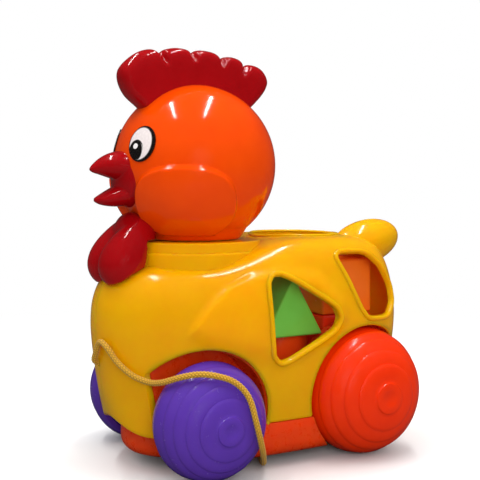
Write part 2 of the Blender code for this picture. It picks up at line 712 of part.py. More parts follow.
def head_shells(finish):
    shell = loft("head_shell", head_shell_rings())
    outside, inside = 1.3 * HEAD_RADIUS, 0.6 * HEAD_RADIUS
    for angle in COMB_PEG_ANGLES:
        cut(shell, peg("comb_peg_hole", comb_way(angle), PEG_RADIUS + GAP, inside, outside))
    for name, radius, z in (("beak_hole", BEAK_PEG_RADIUS + GAP, BEAK_SADDLE_CENTRE.z),
                            ("wattle_hole", PEG_RADIUS + GAP, WATTLE_PEG_Z)):
        cut(shell, rod(name, "Y", NECK_Y - outside, NECK_Y - inside, radius, (0, 0, z)))
    split(shell, "head", finish)


def head_form(name, grow):
    """The head's outer form, grown by a clearance, used to seat what is mounted on it."""
    rings = [[HEAD_CENTRE + Vector((0, 0, HEAD_RADIUS + grow))]]
    rings += [head_ring(a, -grow) for a in HEAD_LEVELS]
    rings.append(neck_ring(HEAD_BOTTOM_Z - grow, HEAD_SKIRT_RADIUS + grow))
    rings.append([Vector((0, NECK_Y, HEAD_BOTTOM_Z - grow))])
    return loft(name, rings)


def comb(finish):
    rings = []
    for side, share in COMB_ROUNDING:
        ring = []
        for angle, reach in COMB_OUTLINE:
            spine_angle = min(max(angle, COMB_SPINE_ENDS[0]), COMB_SPINE_ENDS[1])
            spine = comb_way(spine_angle) * (COMB_SPINE * MM + HEAD_GROWTH)
            spot = spine + (comb_way(angle) * (reach * MM + HEAD_GROWTH) - spine) * share
            ring.append(HEAD_CENTRE + spot + Vector((side * COMB_HALF_THICKNESS, 0, 0)))
        rings.append(ring)
    made = loft("comb", rings)
    cut(made, head_form("seat", GAP))
    for angle in COMB_PEG_ANGLES:
        join(made, peg("comb_peg", comb_way(angle), PEG_RADIUS, HEAD_RADIUS - PEG_DEPTH,
                       COMB_SPINE * MM + HEAD_GROWTH))
    dress(made, finish)


def beak_loft(name, sections, facets=16):
    rings = []
    for y, low, high, half in sections:
        turns = [2 * math.pi * i / facets for i in range(facets)]
        middle, rise = (low + high) / 2, (high - low) / 2
        across = y * MM + BEAK_SHIFT.y
        rings.append([(half * MM * math.cos(t), across, (middle + rise * math.sin(t)) * MM + BEAK_SHIFT.z)
                      for t in turns])
    return loft(name, rings)


def beak(finish):
    made = beak_loft("beak", UPPER_BEAK)
    join(made, beak_loft("lower_beak", LOWER_BEAK))
    join(made, ellipsoid("saddle", BEAK_SADDLE_CENTRE, BEAK_SADDLE_HALF))
    cut(made, head_form("seat", GAP))
    front = NECK_Y - HEAD_RADIUS
    join(made, rod("beak_peg", "Y", front - MAKE_SURE, front + PEG_DEPTH, BEAK_PEG_RADIUS,
                   (0, 0, BEAK_SADDLE_CENTRE.z)))
    dress(made, finish)


def chest_clearance():
    """Room that the chest and collar need round the neck, as the head turns."""
    neck_room = COLLAR_RADIUS + WATTLE_CLEARANCE
    profile = [(BODY_EDGE_Z, 0.0)]
    for share, height in BODY_PROFILE[4:9]:
        reach = CHEST_LENGTH * share - (BODY_MIDDLE_Y - NECK_Y) + WATTLE_CLEARANCE
        profile.append((height * MM, max(reach, neck_room)))
    profile.append((COLLAR_TOP_Z + WATTLE_CLEARANCE, neck_room))
    profile.append((COLLAR_TOP_Z + WATTLE_CLEARANCE, 0.0))
    return turned("chest_clearance", profile, CLEARANCE_FACETS, "Z", (0, NECK_Y, 0))


def wattle(finish):
    made = ellipsoid("wattle", WATTLE_CENTRE, WATTLE_HALF, WATTLE_TILT, WATTLE_TAPER)
    other = Vector((-WATTLE_CENTRE.x, WATTLE_CENTRE.y, WATTLE_CENTRE.z))
    join(made, ellipsoid("far_lobe", other, WATTLE_HALF, WATTLE_TILT, WATTLE_TAPER))
    join(made, ellipsoid("root", WATTLE_ROOT_CENTRE, WATTLE_ROOT_HALF))
    cut(made, head_form("seat", GAP), chest_clearance())
    join(made, rod("wattle_peg", "Y", WATTLE_ROOT_CENTRE.y - 2 * MM, NECK_Y - HEAD_RADIUS * 0.6, PEG_RADIUS,
                   (0, 0, WATTLE_PEG_Z)))
    dress(made, finish)


def eye(name, side, finish):
    """A thin oval sticker that lies on the head."""
    facing = direction(side * EYE_AZIMUTH, EYE_ELEVATION)
    across = Vector((0, 0, 1)).cross(facing).normalized()
    up = facing.cross(across)
    skins = []
    for radius in (HEAD_RADIUS + GAP + EYE_THICKNESS, HEAD_RADIUS + GAP):
        skin = [[HEAD_CENTRE + facing * radius]]
        for share in (0.55, 1.0):
            ring = []
            for i in range(EYE_FACETS):
                t = 2 * math.pi * i / EYE_FACETS
                sideways = across * math.cos(t) * EYE_HALF_WIDTH * share
                upwards = up * math.sin(t) * EYE_HALF_HEIGHT * share
                ring.append(HEAD_CENTRE + (facing * HEAD_RADIUS + sideways + upwards).normalized() * radius)
            skin.append(ring)
        skins.append(skin)
    loft(name, skins[0] + skins[1][::-1], finish)


# Wheels


def dome_point(rim_x, depth, radius, degrees):
    a = math.radians(degrees)
    return rim_x + depth * math.sin(a) ** WHEEL_FULLNESS, radius * math.cos(a) ** WHEEL_FULLNESS


def wheel_profile(radius, inner_x, outer_x):
    """Half section of a wheel: down the stepped dome, round the rim and back inside."""
    rim_x = inner_x + WHEEL_RIM_WIDTH
    depth = outer_x - rim_x
    hub = dome_point(rim_x, depth, radius, WHEEL_RINGS_DEG[-1])[1]
    points = [(outer_x, 0.0), (outer_x, hub * 0.85)]
    ends = WHEEL_RINGS_DEG[1:]
    for low, high in reversed(list(zip(WHEEL_RINGS_DEG, ends))):
        for angle, drop in ((high, WHEEL_STEP), (low, 0.0)):
            points.append(dome_point(rim_x, depth - drop, radius - drop, angle))
    mouth = radius - WHEEL_WALL - WHEEL_LIP
    points += [(inner_x, radius - WHEEL_LIP), (inner_x, mouth), (inner_x + WHEEL_DOME_START, mouth)]
    for angle in (0, 35, 70):
        points.append(dome_point(rim_x, depth - WHEEL_WALL, radius - WHEEL_WALL, angle))
    inside = points[-1][0]
    hub_start = inner_x + CAP_THICKNESS + 2 * GAP
    points += [(inside, HUB_RADIUS), (hub_start, HUB_RADIUS), (hub_start, AXLE_RADIUS + GAP),
               (outer_x - HUB_WALL_END, AXLE_RADIUS + GAP), (outer_x - HUB_WALL_END, 0.0)]
    return points


def axle_set(name, axle_y, radius, inner_x, outer_x, finish, steel):
    """One axle with a wheel and an inner cap at each end, on the axle's line."""
    axis = bpy.data.objects.new(f"{name}_axis", None)
    axis.location = (0, axle_y, radius)
    bpy.context.scene.collection.objects.link(axis)
    end = outer_x - HUB_WALL_END - GAP
    pieces = [rod(f"{name}_axle", "X", -end, end, AXLE_RADIUS, facets=16, finish=steel)]
    mouth = radius - WHEEL_WALL - WHEEL_LIP
    cap_start = inner_x + GAP
    cap_end = cap_start + CAP_THICKNESS
    bore = AXLE_RADIUS + GAP
    cap = [(cap_start, bore), (cap_start, mouth - GAP), (cap_end, mouth - GAP), (cap_end, bore)]
    for side, half_turn in (("left", 0), ("right", math.pi)):
        profile = wheel_profile(radius, inner_x, outer_x)
        wheel = turned(f"{name}_wheel_{side}", profile, WHEEL_FACETS, "X", finish=finish)
        inner = turned(f"{name}_wheel_cap_{side}", cap, WHEEL_FACETS, "X", finish=finish, close=True)
        for piece in (wheel, inner):
            piece.data.transform(Matrix.Rotation(half_turn, 4, "Z"))
            pieces.append(piece)
    for piece in pieces:
        piece.parent = axis


# Screws, blocks


def screws(steel):
    head_top = DECK_TOP_Z - BASE_WALL - GAP
    profile = [(head_top - SCREW_HEAD_HEIGHT, 0.0), (head_top - SCREW_HEAD_HEIGHT, SCREW_HEAD_RADIUS * 0.8),
               (head_top - SCREW_HEAD_HEIGHT * 0.5, SCREW_HEAD_RADIUS), (head_top, SCREW_HEAD_RADIUS),
               (head_top, SCREW_RADIUS), (head_top + SCREW_LENGTH - MAKE_SURE, SCREW_RADIUS),
               (head_top + SCREW_LENGTH, 0.0)]
    for number, (x, y) in enumerate(screw_places(), 1):
        turned(f"base_screw_{number}", profile, HOLE_FACETS, "Z", (x, y, 0), steel)


def bevelled(item, finish):
    bevel = item.modifiers.new("Bevel", "BEVEL")
    bevel.width = BLOCK_BEVEL
    bevel.segments = 1
    bevel.limit_method = "ANGLE"
    dress(item, finish, smooth=False)


def blocks(paint):
    floor = DECK_TOP_Z + GAP
    half = BLOCK_SIDE / 2
    disc = rod("block_disc_scarlet", "Z", floor, floor + DISC_HEIGHT, half, (STACK_X, FRONT_STACK_Y, 0), 28)
    bevelled(disc, paint["scarlet"])
    low = floor + DISC_HEIGHT + GAP
    rise = PRISM_SIDE * math.sqrt(3) / 2
    triangle = [(PRISM_Y - PRISM_SIDE / 2, low), (PRISM_Y + PRISM_SIDE / 2, low), (PRISM_Y, low + rise)]
    rings = [[(PRISM_X + side * BLOCK_DEPTH / 2, y, z) for y, z in triangle] for side in (-1, 1)]
    bevelled(loft("block_triangle_green", rings, smooth=False), paint["green"])
    low_block = box("block_square_red", (STACK_X - half, REAR_STACK_Y - half, floor),
                    (STACK_X + half, REAR_STACK_Y + half, floor + BLOCK_DEPTH))
    bevelled(low_block, paint["red"])
    low = floor + BLOCK_DEPTH + GAP
    top_block = box("block_square_orange", (STACK_X - half, REAR_STACK_Y - half, low),
                    (STACK_X + half, REAR_STACK_Y + half, low + BLOCK_DEPTH))
    bevelled(top_block, paint["orange"])


# Cord


def smooth_route(route, step):
    """Points at even steps on a smooth curve through the route's own points."""
    knots = [Vector(p) * MM for p in route]
    ends = [2 * knots[0] - knots[1]] + knots + [2 * knots[-1] - knots[-2]]
    dense = []
    for a, b, c, d in zip(ends, ends[1:], ends[2:], ends[3:]):
        for i in range(24):
            t = i / 24
            dense.append(0.5 * (2 * b + (c - a) * t + (2 * a - 5 * b + 4 * c - d) * t * t
                                + (3 * b - a - 3 * c + d) * t * t * t))
    dense.append(knots[-1])
    lengths = [0.0]
    for a, b in zip(dense, dense[1:]):
        lengths.append(lengths[-1] + (b - a).length)
    count = max(2, round(lengths[-1] / step))
    return [walk(dense, lengths, lengths[-1] * i / count) for i in range(count + 1)]


def walk(points, lengths, distance):
    for i in range(1, len(points)):
        if lengths[i] >= distance:
            span = lengths[i] - lengths[i - 1]
            return points[i - 1].lerp(points[i], (distance - lengths[i - 1]) / span if span else 0.0)
    return points[-1].copy()


def route_length(points):
    return sum((b - a).length for a, b in zip(points, points[1:]))


def tube(name, points, radius, resolution, finish):
    curve = bpy.data.curves.new(name, "CURVE")
    curve.dimensions = "3D"
    curve.bevel_depth = radius
    curve.bevel_resolution = resolution
    curve.use_fill_caps = True
    line = curve.splines.new("POLY")
    line.points.add(len(points) - 1)
    for spot, point in zip(line.points, points):
        spot.co = (*point, 1)
    made = bpy.data.objects.new(name, curve)
    bpy.context.scene.collection.objects.link(made)
    curve.materials.append(finish)
    return made


def coil_points(start):
    """A flat spiral inwards from the end of the lead, with its last part drawn in to the knot."""
    first = math.atan2(start.y - COIL_CENTRE.y, start.x - COIL_CENTRE.x)
    count = round(COIL_TURNS * COIL_POINTS_PER_TURN)
    points = []
    for i in range(count + 1):
        turns = i / COIL_POINTS_PER_TURN
        drawn_in = COIL_END_DROP * smooth_step((turns - COIL_TURNS + 0.35) / 0.35)
        radius = COIL_OUTER_RADIUS - COIL_PITCH * turns - drawn_in
        angle = first - 2 * math.pi * turns
        points.append(COIL_CENTRE + Vector((radius * math.cos(angle), radius * math.sin(angle), 0)))
    return points


def least_self_gap(points, diameter):
    """Least gap of a coil to itself, between points more than half a turn apart."""
    apart = COIL_POINTS_PER_TURN // 2
    pairs = [(a - b).length for i, a in enumerate(points) for b in points[i + apart :]]
    return min(pairs) - diameter


def ball(name, centre, radius, finish):
    made = ellipsoid(name, centre, Vector((radius, radius, radius)), facets=12, levels=8)
    dress(made, finish)


def cord(finish, tie_finish):
    outer = coil_points(Vector(CORD_ROUTE[-1]) * MM)
    lead_end = outer[0] - (outer[1] - outer[0]).normalized() * GAP
    lead = smooth_route(CORD_ROUTE[:-1] + [tuple(lead_end / MM)], CORD_STEP)
    tube("cord_lead", lead, CORD_RADIUS, 2, finish)
    tube("cord_coil", outer, CORD_RADIUS, 1, finish)
    ball("cord_stop_knot", lead[0] + Vector((0, STOP_KNOT_RADIUS + GAP, 0)), STOP_KNOT_RADIUS, finish)
    last = (outer[-1] - outer[-2]).normalized()
    knot = outer[-1] + last * (END_KNOT_RADIUS + GAP)
    knot.z = END_KNOT_RADIUS + GAP
    ball("cord_end_knot", knot, END_KNOT_RADIUS, finish)
    tie(outer, tie_finish)
    print(f"cord length {(route_length(lead) + route_length(outer)) / MM:.1f} mm")
    print(f"least gap of the coil to itself {least_self_gap(outer, 2 * CORD_RADIUS) / MM:.2f} mm")


def tie(points, finish):
    """A flat band wrapped round the coil's turns at one place."""
    number = round(TIE_TURN * COIL_POINTS_PER_TURN)
    radial = (points[number] - COIL_CENTRE).normalized()
    angle = math.atan2(radial.y, radial.x)
    spokes = [p - COIL_CENTRE for p in points]
    reaches = [spoke.length for spoke in spokes if spoke.normalized().dot(radial) > 0.985]
    low, high = min(reaches) - CORD_RADIUS - GAP, max(reaches) + CORD_RADIUS + GAP
    height = CORD_RADIUS + GAP
    rings = []
    for along in (-TIE_WIDTH / 2, TIE_WIDTH / 2):
        rings.append(tie_loop(low, high, height, along))
        rings.append(tie_loop(low - TIE_THICKNESS, high + TIE_THICKNESS, height + TIE_THICKNESS, along))
    made = loft("cord_tie", [rings[0], rings[1], rings[3], rings[2]], close=True)
    made.data.transform(Matrix.Translation(COIL_CENTRE) @ Matrix.Rotation(angle, 4, "Z"))
    dress(made, finish)


def tie_loop(low, high, height, along):
    """One closed loop round the turns: two flats joined by half rounds."""
    middle, half = (low + high) / 2, (high - low) / 2
    loop = []
    for i in range(20):
        t = 2 * math.pi * (i + 0.5) / 20
        side = math.copysign(abs(math.cos(t)) ** 0.35, math.cos(t))
        rise = math.copysign(abs(math.sin(t)) ** 0.35, math.sin(t))
        loop.append((middle + half * side, along, height * rise))
    return loop


def main():
    clear_scene()
    yellow = material("yellow_plastic", "F2AE14", 0.25)
    orange = material("orange_plastic", "F75A08", 0.25)
    red = material("red_plastic", "A8080C", 0.22)
    purple = material("purple_plastic", "5A32A0", 0.3)
    scarlet = material("scarlet_plastic", "E8380A", 0.28)
    tray_red = material("tray_red_plastic", "D0300E", 0.35)
    steel = material("steel", "9A9C9E", 0.35, 1.0)
    print_white = material("eye_print", "F0EAE6", 0.4)
    cord_yellow = material("cord_yellow", "E8B42C", 0.8)
    tie_white = material("tie_white", "F4F4F0", 0.5)
    paint = {
        "scarlet": material("block_scarlet_plastic", "E04A14", 0.3),
        "green": material("block_green_plastic", "46A832", 0.3),
        "red": material("block_red_plastic", "D02018", 0.3),
        "orange": material("block_orange_plastic", "F0520C", 0.3),
    }
    base_tray(tray_red)
    body_shells(yellow)
    head_shells(orange)
    comb(red)
    beak(red)
    wattle(red)
    eye("eye_left", 1, print_white)
    eye("eye_right", -1, print_white)
    front = (FRONT_AXLE_Y, FRONT_WHEEL_RADIUS, FRONT_WHEEL_INNER_X, FRONT_WHEEL_OUTER_X)
    rear = (REAR_AXLE_Y, REAR_WHEEL_RADIUS, REAR_WHEEL_INNER_X, REAR_WHEEL_OUTER_X)
    axle_set("front", *front, purple, steel)
    axle_set("rear", *rear, scarlet, steel)
    screws(steel)
    blocks(paint)
    cord(cord_yellow, tie_white)


main()
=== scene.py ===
# %% [markdown]
# # Pull-along toy chicken: its looks
# The toy is blow-moulded and injection-moulded plastic on two steel axles, with loose sorting blocks in its
# body and a braided pull cord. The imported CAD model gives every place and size, and stays as it is. Each
# plastic part is made again here with finer facets, rounded edges and its moulded details, by the formulas
# that shaped it in CAD, so it lies where the CAD part lies.

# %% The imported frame
import math

import bmesh
import bpy
import numpy as np
from mathutils import Matrix, Vector
from mathutils.geometry import interpolate_bezier


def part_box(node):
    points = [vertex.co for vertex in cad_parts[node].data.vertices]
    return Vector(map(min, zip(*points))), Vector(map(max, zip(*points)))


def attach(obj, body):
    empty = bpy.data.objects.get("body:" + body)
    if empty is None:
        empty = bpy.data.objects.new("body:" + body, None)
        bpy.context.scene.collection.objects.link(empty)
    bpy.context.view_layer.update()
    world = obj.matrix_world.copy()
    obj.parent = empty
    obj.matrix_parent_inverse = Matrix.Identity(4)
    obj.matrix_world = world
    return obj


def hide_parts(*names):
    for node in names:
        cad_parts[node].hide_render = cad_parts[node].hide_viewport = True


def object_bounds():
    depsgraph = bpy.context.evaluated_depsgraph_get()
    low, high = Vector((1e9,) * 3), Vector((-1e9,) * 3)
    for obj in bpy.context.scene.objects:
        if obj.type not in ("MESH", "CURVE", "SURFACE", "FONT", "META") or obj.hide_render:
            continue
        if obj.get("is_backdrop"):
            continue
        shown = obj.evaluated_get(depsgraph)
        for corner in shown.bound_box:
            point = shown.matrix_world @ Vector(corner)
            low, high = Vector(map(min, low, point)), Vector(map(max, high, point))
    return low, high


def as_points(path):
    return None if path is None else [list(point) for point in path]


MM = 0.001
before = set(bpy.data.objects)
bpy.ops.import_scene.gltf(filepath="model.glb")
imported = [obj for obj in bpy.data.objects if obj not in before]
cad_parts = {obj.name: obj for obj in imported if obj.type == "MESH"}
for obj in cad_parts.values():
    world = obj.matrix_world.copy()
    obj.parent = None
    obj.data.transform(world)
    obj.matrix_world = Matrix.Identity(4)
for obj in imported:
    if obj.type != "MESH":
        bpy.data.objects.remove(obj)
cad_box = [list(corner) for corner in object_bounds()]
print(f"CAD box {[round(c / MM, 1) for corner in cad_box for c in corner]} mm")

# %% [markdown]
# ## The camera
# The photograph shows the chicken from its left and a little from the front, at about the height of its
# collar. A camera that looks level keeps upright edges upright, and its vertical shift brings the toy, which
# stands below the horizon, to the middle of the frame.

# %% Camera
VIEW_AZIMUTH = math.radians(61)
TOWARDS_CAMERA = Vector((math.sin(VIEW_AZIMUTH), -math.cos(VIEW_AZIMUTH), 0))
CAMERA_RIGHT = Vector((math.cos(VIEW_AZIMUTH), math.sin(VIEW_AZIMUTH), 0))
CAMERA_DISTANCE, CAMERA_SIDE, CAMERA_HEIGHT = 521.3 * MM, -9.4 * MM, 152 * MM
LENS_MM, SENSOR_MM = 67.5, 36
HORIZON_SHIFT = -0.125


def placed(name, data):
    """A new object in the scene."""
    item = bpy.data.objects.new(name, data)
    bpy.context.scene.collection.objects.link(item)
    return item


def make_camera():
    camera = placed("camera", bpy.data.cameras.new("camera"))
    sideways = CAMERA_RIGHT * CAMERA_SIDE
    camera.location = TOWARDS_CAMERA * CAMERA_DISTANCE + sideways + Vector((0, 0, CAMERA_HEIGHT))
    camera.rotation_euler = (math.pi / 2, 0, VIEW_AZIMUTH)
    camera.data.sensor_width = SENSOR_MM
    camera.data.lens = LENS_MM
    camera.data.shift_y = HORIZON_SHIFT
    bpy.context.scene.camera = camera


make_camera()

# %% [markdown]
# ## Helpers for meshes
# Most parts are lofts: rings of points joined by bands of faces. A Boolean cuts windows and holes, and the
# edge angle decides which edges stay sharp under smooth shading.

# %% Mesh helpers
SIDES = ((1, "left"), (-1, "right"))
TIP_RADIUS = 1e-7


def full_turn(count, shift=0.0):
    """The angles of a full turn in equal steps."""
    return [2 * math.pi * (i + shift) / count for i in range(count)]


def quarter_turn(steps):
    return [math.pi / 2 * i / steps for i in range(steps + 1)]


def mesh_object(name, points, faces, uvs=None):
    mesh = bpy.data.meshes.new(name)
    mesh.from_pydata([tuple(p) for p in points], [], faces)
    if uvs is not None:
        layer = mesh.uv_layers.new(name="UVMap")
        loops = np.empty(len(mesh.loops), dtype=np.int32)
        mesh.loops.foreach_get("vertex_index", loops)
        layer.data.foreach_set("uv", np.asarray(uvs, dtype=np.float32)[loops].ravel())
    return placed(name, mesh)


def face_outwards(item):
    mesh = item.data
    mesh.calc_loop_triangles()
    corners = np.array([v.co for v in mesh.vertices])
    triangles = np.array([t.vertices for t in mesh.loop_triangles])
    a, b, c = (corners[triangles[:, k]] for k in range(3))
    if np.einsum("ij,ij->i", a, np.cross(b, c)).sum() < 0:
        mesh.flip_normals()
    return item


def smooth(item, edge_angle=35):
    item.data.shade_smooth()
    item.data.set_sharp_from_angle(angle=math.radians(edge_angle))
    return item


def loft(name, rings, close=False, edge_angle=35, uvs=None):
    """Closed solid through rings of equal count. A ring that is one point closes to a tip."""
    points, starts, faces = [], [], []
    for ring in rings:
        starts.append(len(points))
        points.extend(ring)
    pairs = list(zip(range(len(rings)), range(1, len(rings))))
    if close:
        pairs.append((len(rings) - 1, 0))
    for a, b in pairs:
        low, high, counts = starts[a], starts[b], (len(rings[a]), len(rings[b]))
        for i in range(max(counts)):
            j = (i + 1) % max(counts)
            if counts[0] == 1:
                faces.append((low, high + j, high + i))
            elif counts[1] == 1:
                faces.append((low + i, low + j, high))
            else:
                faces.append((low + i, low + j, high + j, high + i))
    if not close:
        for ring, start, order in ((rings[0], starts[0], -1), (rings[-1], starts[-1], 1)):
            if len(ring) > 1:
                faces.append(list(range(start, start + len(ring)))[::order])
    return smooth(face_outwards(mesh_object(name, points, faces, uvs)), edge_angle)


def turned(name, profile, facets, axis="Z", centre=(0, 0, 0), close=False, edge_angle=35):
    """Solid of revolution from (along the axis, radius) points."""
    order = {"X": (0, 1, 2), "Y": (1, 0, 2), "Z": (2, 0, 1)}[axis]
    rings = []
    for along, radius in profile:
        ring = []
        for t in full_turn(1 if radius < TIP_RADIUS else facets):
            point = [0.0, 0.0, 0.0]
            for place, value in zip(order, (along, radius * math.cos(t), radius * math.sin(t))):
                point[place] = value + centre[place]
            ring.append(tuple(point))
        rings.append(ring)
    return loft(name, rings, close, edge_angle)


def rod(name, axis, start, end, radius, centre=(0, 0, 0), facets=48):
    return turned(name, [(start, radius), (end, radius)], facets, axis, centre)


def ellipsoid(name, centre, half, tilt=0.0, taper=0.0, facets=64, levels=32):
    """A tilted ellipsoid. Taper draws its upper end in and lets its lower end out."""
    turn = Matrix.Rotation(tilt, 3, "X")
    rings = []
    for i in range(levels + 1):
        rise, tip = -math.pi / 2 + math.pi * i / levels, i in (0, levels)
        flat = 0.0 if tip else math.cos(rise) * (1 - taper * math.sin(rise))
        ring = [(half.x * math.cos(t) * flat, half.y * math.sin(t) * flat, half.z * math.sin(rise))
                for t in full_turn(1 if tip else facets)]
        rings.append([centre + turn @ Vector(point) for point in ring])
    return loft(name, rings)


def box(name, low, high):
    corners = [(low[0], low[1]), (high[0], low[1]), (high[0], high[1]), (low[0], high[1])]
    return loft(name, [[(x, y, z) for x, y in corners] for z in (low[2], high[2])])


def apply_modifiers(item):
    bpy.context.view_layer.update()
    result = bpy.data.meshes.new_from_object(item.evaluated_get(bpy.context.evaluated_depsgraph_get()))
    item.modifiers.clear()
    item.data = result


def combine(target, operation, *others, solver="EXACT"):
    """Boolean with the others taken as one mesh. The others are used up."""
    tool = merged("tool", *others)
    modifier = target.modifiers.new(operation.title(), "BOOLEAN")
    modifier.operation = operation
    modifier.solver = solver
    modifier.object = tool
    apply_modifiers(target)
    bpy.data.objects.remove(tool, do_unlink=True)
    return target


def merged(name, *items):
    """One object from several, which are used up."""
    shape = bmesh.new()
    for item in items:
        shape.from_mesh(item.data)
        bpy.data.objects.remove(item, do_unlink=True)
    mesh = bpy.data.meshes.new(name)
    shape.to_mesh(mesh)
    shape.free()
    return placed(name, mesh)


def melt(item, voxel, rounds):
    """Runs overlapping solids into one skin, and softens the creases between them."""
    remesh = item.modifiers.new("Remesh", "REMESH")
    remesh.mode = "VOXEL"
    remesh.voxel_size = voxel
    remesh.use_smooth_shade = True
    soften = item.modifiers.new("Soften", "SMOOTH")
    soften.factor = 0.5
    soften.iterations = rounds
    apply_modifiers(item)
    item.data.shade_smooth()
    return item


def half_of(item, name, side, seam):
    """The part of a solid on one side of the seam between two moulded halves."""
    piece = placed(name, item.data.copy())
    shape = bmesh.new()
    shape.from_mesh(piece.data)
    geometry = shape.verts[:] + shape.edges[:] + shape.faces[:]
    bmesh.ops.bisect_plane(shape, geom=geometry, plane_co=(side * seam, 0, 0), plane_no=(side, 0, 0),
                           clear_inner=True)
    rim = [e for e in shape.edges if e.is_boundary]
    bmesh.ops.triangle_fill(shape, use_beauty=True, edges=rim, normal=(-side, 0, 0))
    shape.to_mesh(piece.data)
    shape.free()
    return smooth(piece)


def catmull(points, steps, closed=False):
    """A smooth curve through points, with a number of steps between each two."""
    points = [Vector(p) for p in points]
    if closed:
        ends = [points[-1]] + points + points[:2]
    else:
        ends = [2 * points[0] - points[1]] + points + [2 * points[-1] - points[-2]]
    curve = []
    for a, b, c, d in zip(ends, ends[1:], ends[2:], ends[3:]):
        curve.extend(interpolate_bezier(b, b + (c - a) / 6, c - (d - b) / 6, c, steps + 1)[:-1])
    return curve if closed else curve + [points[-1]]


def smooth_step(value):
    t = min(max(value, 0.0), 1.0)
    return t * t * (3 - 2 * t)


def finish_piece(item, body, finish, slot, *nodes):
    """Dresses a piece, hides the CAD nodes that it stands for, and hangs it on an empty for the body that it
    moves with.
    """
    item.data.materials.clear()
    item.data.materials.append(finish)
    if nodes:
        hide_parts(*nodes)
    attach(item, body)


def finish_halves(solid, name, seam, body, finish, slot):
    """Cuts a solid at the seam between its two moulded halves, and dresses each half."""
    for side, side_name in SIDES:
        half = half_of(solid, f"{name}_half_{side_name}", side, seam)
        finish_piece(half, body, finish, slot, f"{name}_{side_name}_shell")
        print(f"{half.name}: {len(half.data.polygons)} faces")
    bpy.data.objects.remove(solid, do_unlink=True)


# %% [markdown]
# ## Helpers for materials
# Colours are written as the hex values that a colour picker shows, and turned to the linear values that the
# renderer wants. One function adds a node with its inputs and settings. Three short ones on top of it make
# the nodes that most materials need: a noise of a real size, a range of values and a mix of two colours.


# %% Material helpers
def linear(code):
    channels = [int(code[i : i + 2], 16) / 255 for i in (0, 2, 4)]
    return [c / 12.92 if c <= 0.04045 else ((c + 0.055) / 1.055) ** 2.4 for c in channels] + [1.0]


def feed(tree, made, inputs):
    """Sets a node's inputs. Each is a value, or the output socket that it is linked to."""
    for name, value in inputs.items():
        if isinstance(value, bpy.types.NodeSocket):
            tree.links.new(value, made.inputs[name])
        else:
            made.inputs[name].default_value = value


def node(tree, kind, inputs=None, **settings):
    made = tree.nodes.new("ShaderNode" + kind)
    for name, value in settings.items():
        setattr(made, name, value)
    feed(tree, made, inputs or {})
    return made


def noise(tree, place, size_mm, detail, rough=0.5):
    made = node(tree, "TexNoise", {"Vector": place, "Scale": 1 / (size_mm * MM), "Detail": detail,
                                   "Roughness": rough})
    return made.outputs["Fac"]


def ramp(tree, value, start, end, low=0.0, high=1.0, **settings):
    """A value that runs from start to end, carried over to run from low to high."""
    made = node(tree, "MapRange", {"Value": value, "From Min": start, "From Max": end, "To Min": low,
                                   "To Max": high}, **settings)
    return made.outputs["Result"]


def tinted(tree, factor, first, second):
    """A mix of two colours, each a hex value or a socket."""
    first, second = (linear(c) if isinstance(c, str) else c for c in (first, second))
    made = node(tree, "Mix", {"Factor": factor, "A": first, "B": second}, data_type="RGBA")
    return made.outputs["Result"]


def new_material(name):
    """An empty material with its shader and output."""
    made = bpy.data.materials.new(name)
    made.use_nodes = True
    tree = made.node_tree
    tree.nodes.clear()
    shader = node(tree, "BsdfPrincipled")
    node(tree, "OutputMaterial", {"Surface": shader.outputs["BSDF"]})
    return made, tree, shader


# %% [markdown]
# ## Moulded plastic
# The toy's shells are glossy polyethylene and ABS, coloured right through and moulded against polished
# steel. The eye sees a strong, slightly uneven colour, sharp reflections of the lamps that waver a little,
# because the moulded wall shrinks unevenly as it cools, and a fine orange-peel in the gloss. Light also
# enters the skin and comes out again nearby, which keeps the shaded sides warm, so a little subsurface
# scattering is added. The yellow body and the tray let the most light in.

# %% Plastics
SINK_WAVE_MM, SINK_DEPTH, SINK_STRENGTH = 26, 1.5 * MM, 0.04
ORANGE_PEEL_MM, PEEL_DEPTH, PEEL_STRENGTH = 1.1, 0.3 * MM, 0.006
SCUFF_MM, SCUFF_SHARES = 3.5, (0.8, 1.35)
PLASTIC_IOR = 1.5
SCATTER_REACH = (1.0, 0.6, 0.25)


def moulded_plastic(name, light, dark, roughness, translucent=0.1, depth=1.5 * MM):
    made, tree, shader = new_material(name)
    place = node(tree, "TexCoord").outputs["Object"]
    flow = noise(tree, place, SINK_WAVE_MM, 3.0, 0.55)
    scuffs = noise(tree, place, SCUFF_MM, 5.0, 0.7)
    peel = noise(tree, place, ORANGE_PEEL_MM, 1.0)
    sink = node(tree, "Bump", {"Height": flow, "Strength": SINK_STRENGTH, "Distance": SINK_DEPTH})
    grain = node(tree, "Bump", {"Height": peel, "Strength": PEEL_STRENGTH, "Distance": PEEL_DEPTH,
                                "Normal": sink.outputs["Normal"]})
    feed(tree, shader, {
        "Base Color": tinted(tree, ramp(tree, flow, 0.3, 0.7), dark, light),
        "Roughness": ramp(tree, scuffs, 0.35, 0.75, *(roughness * share for share in SCUFF_SHARES)),
        "Normal": grain.outputs["Normal"], "IOR": PLASTIC_IOR, "Subsurface Weight": translucent,
        "Subsurface Radius": SCATTER_REACH, "Subsurface Scale": depth})
    return made


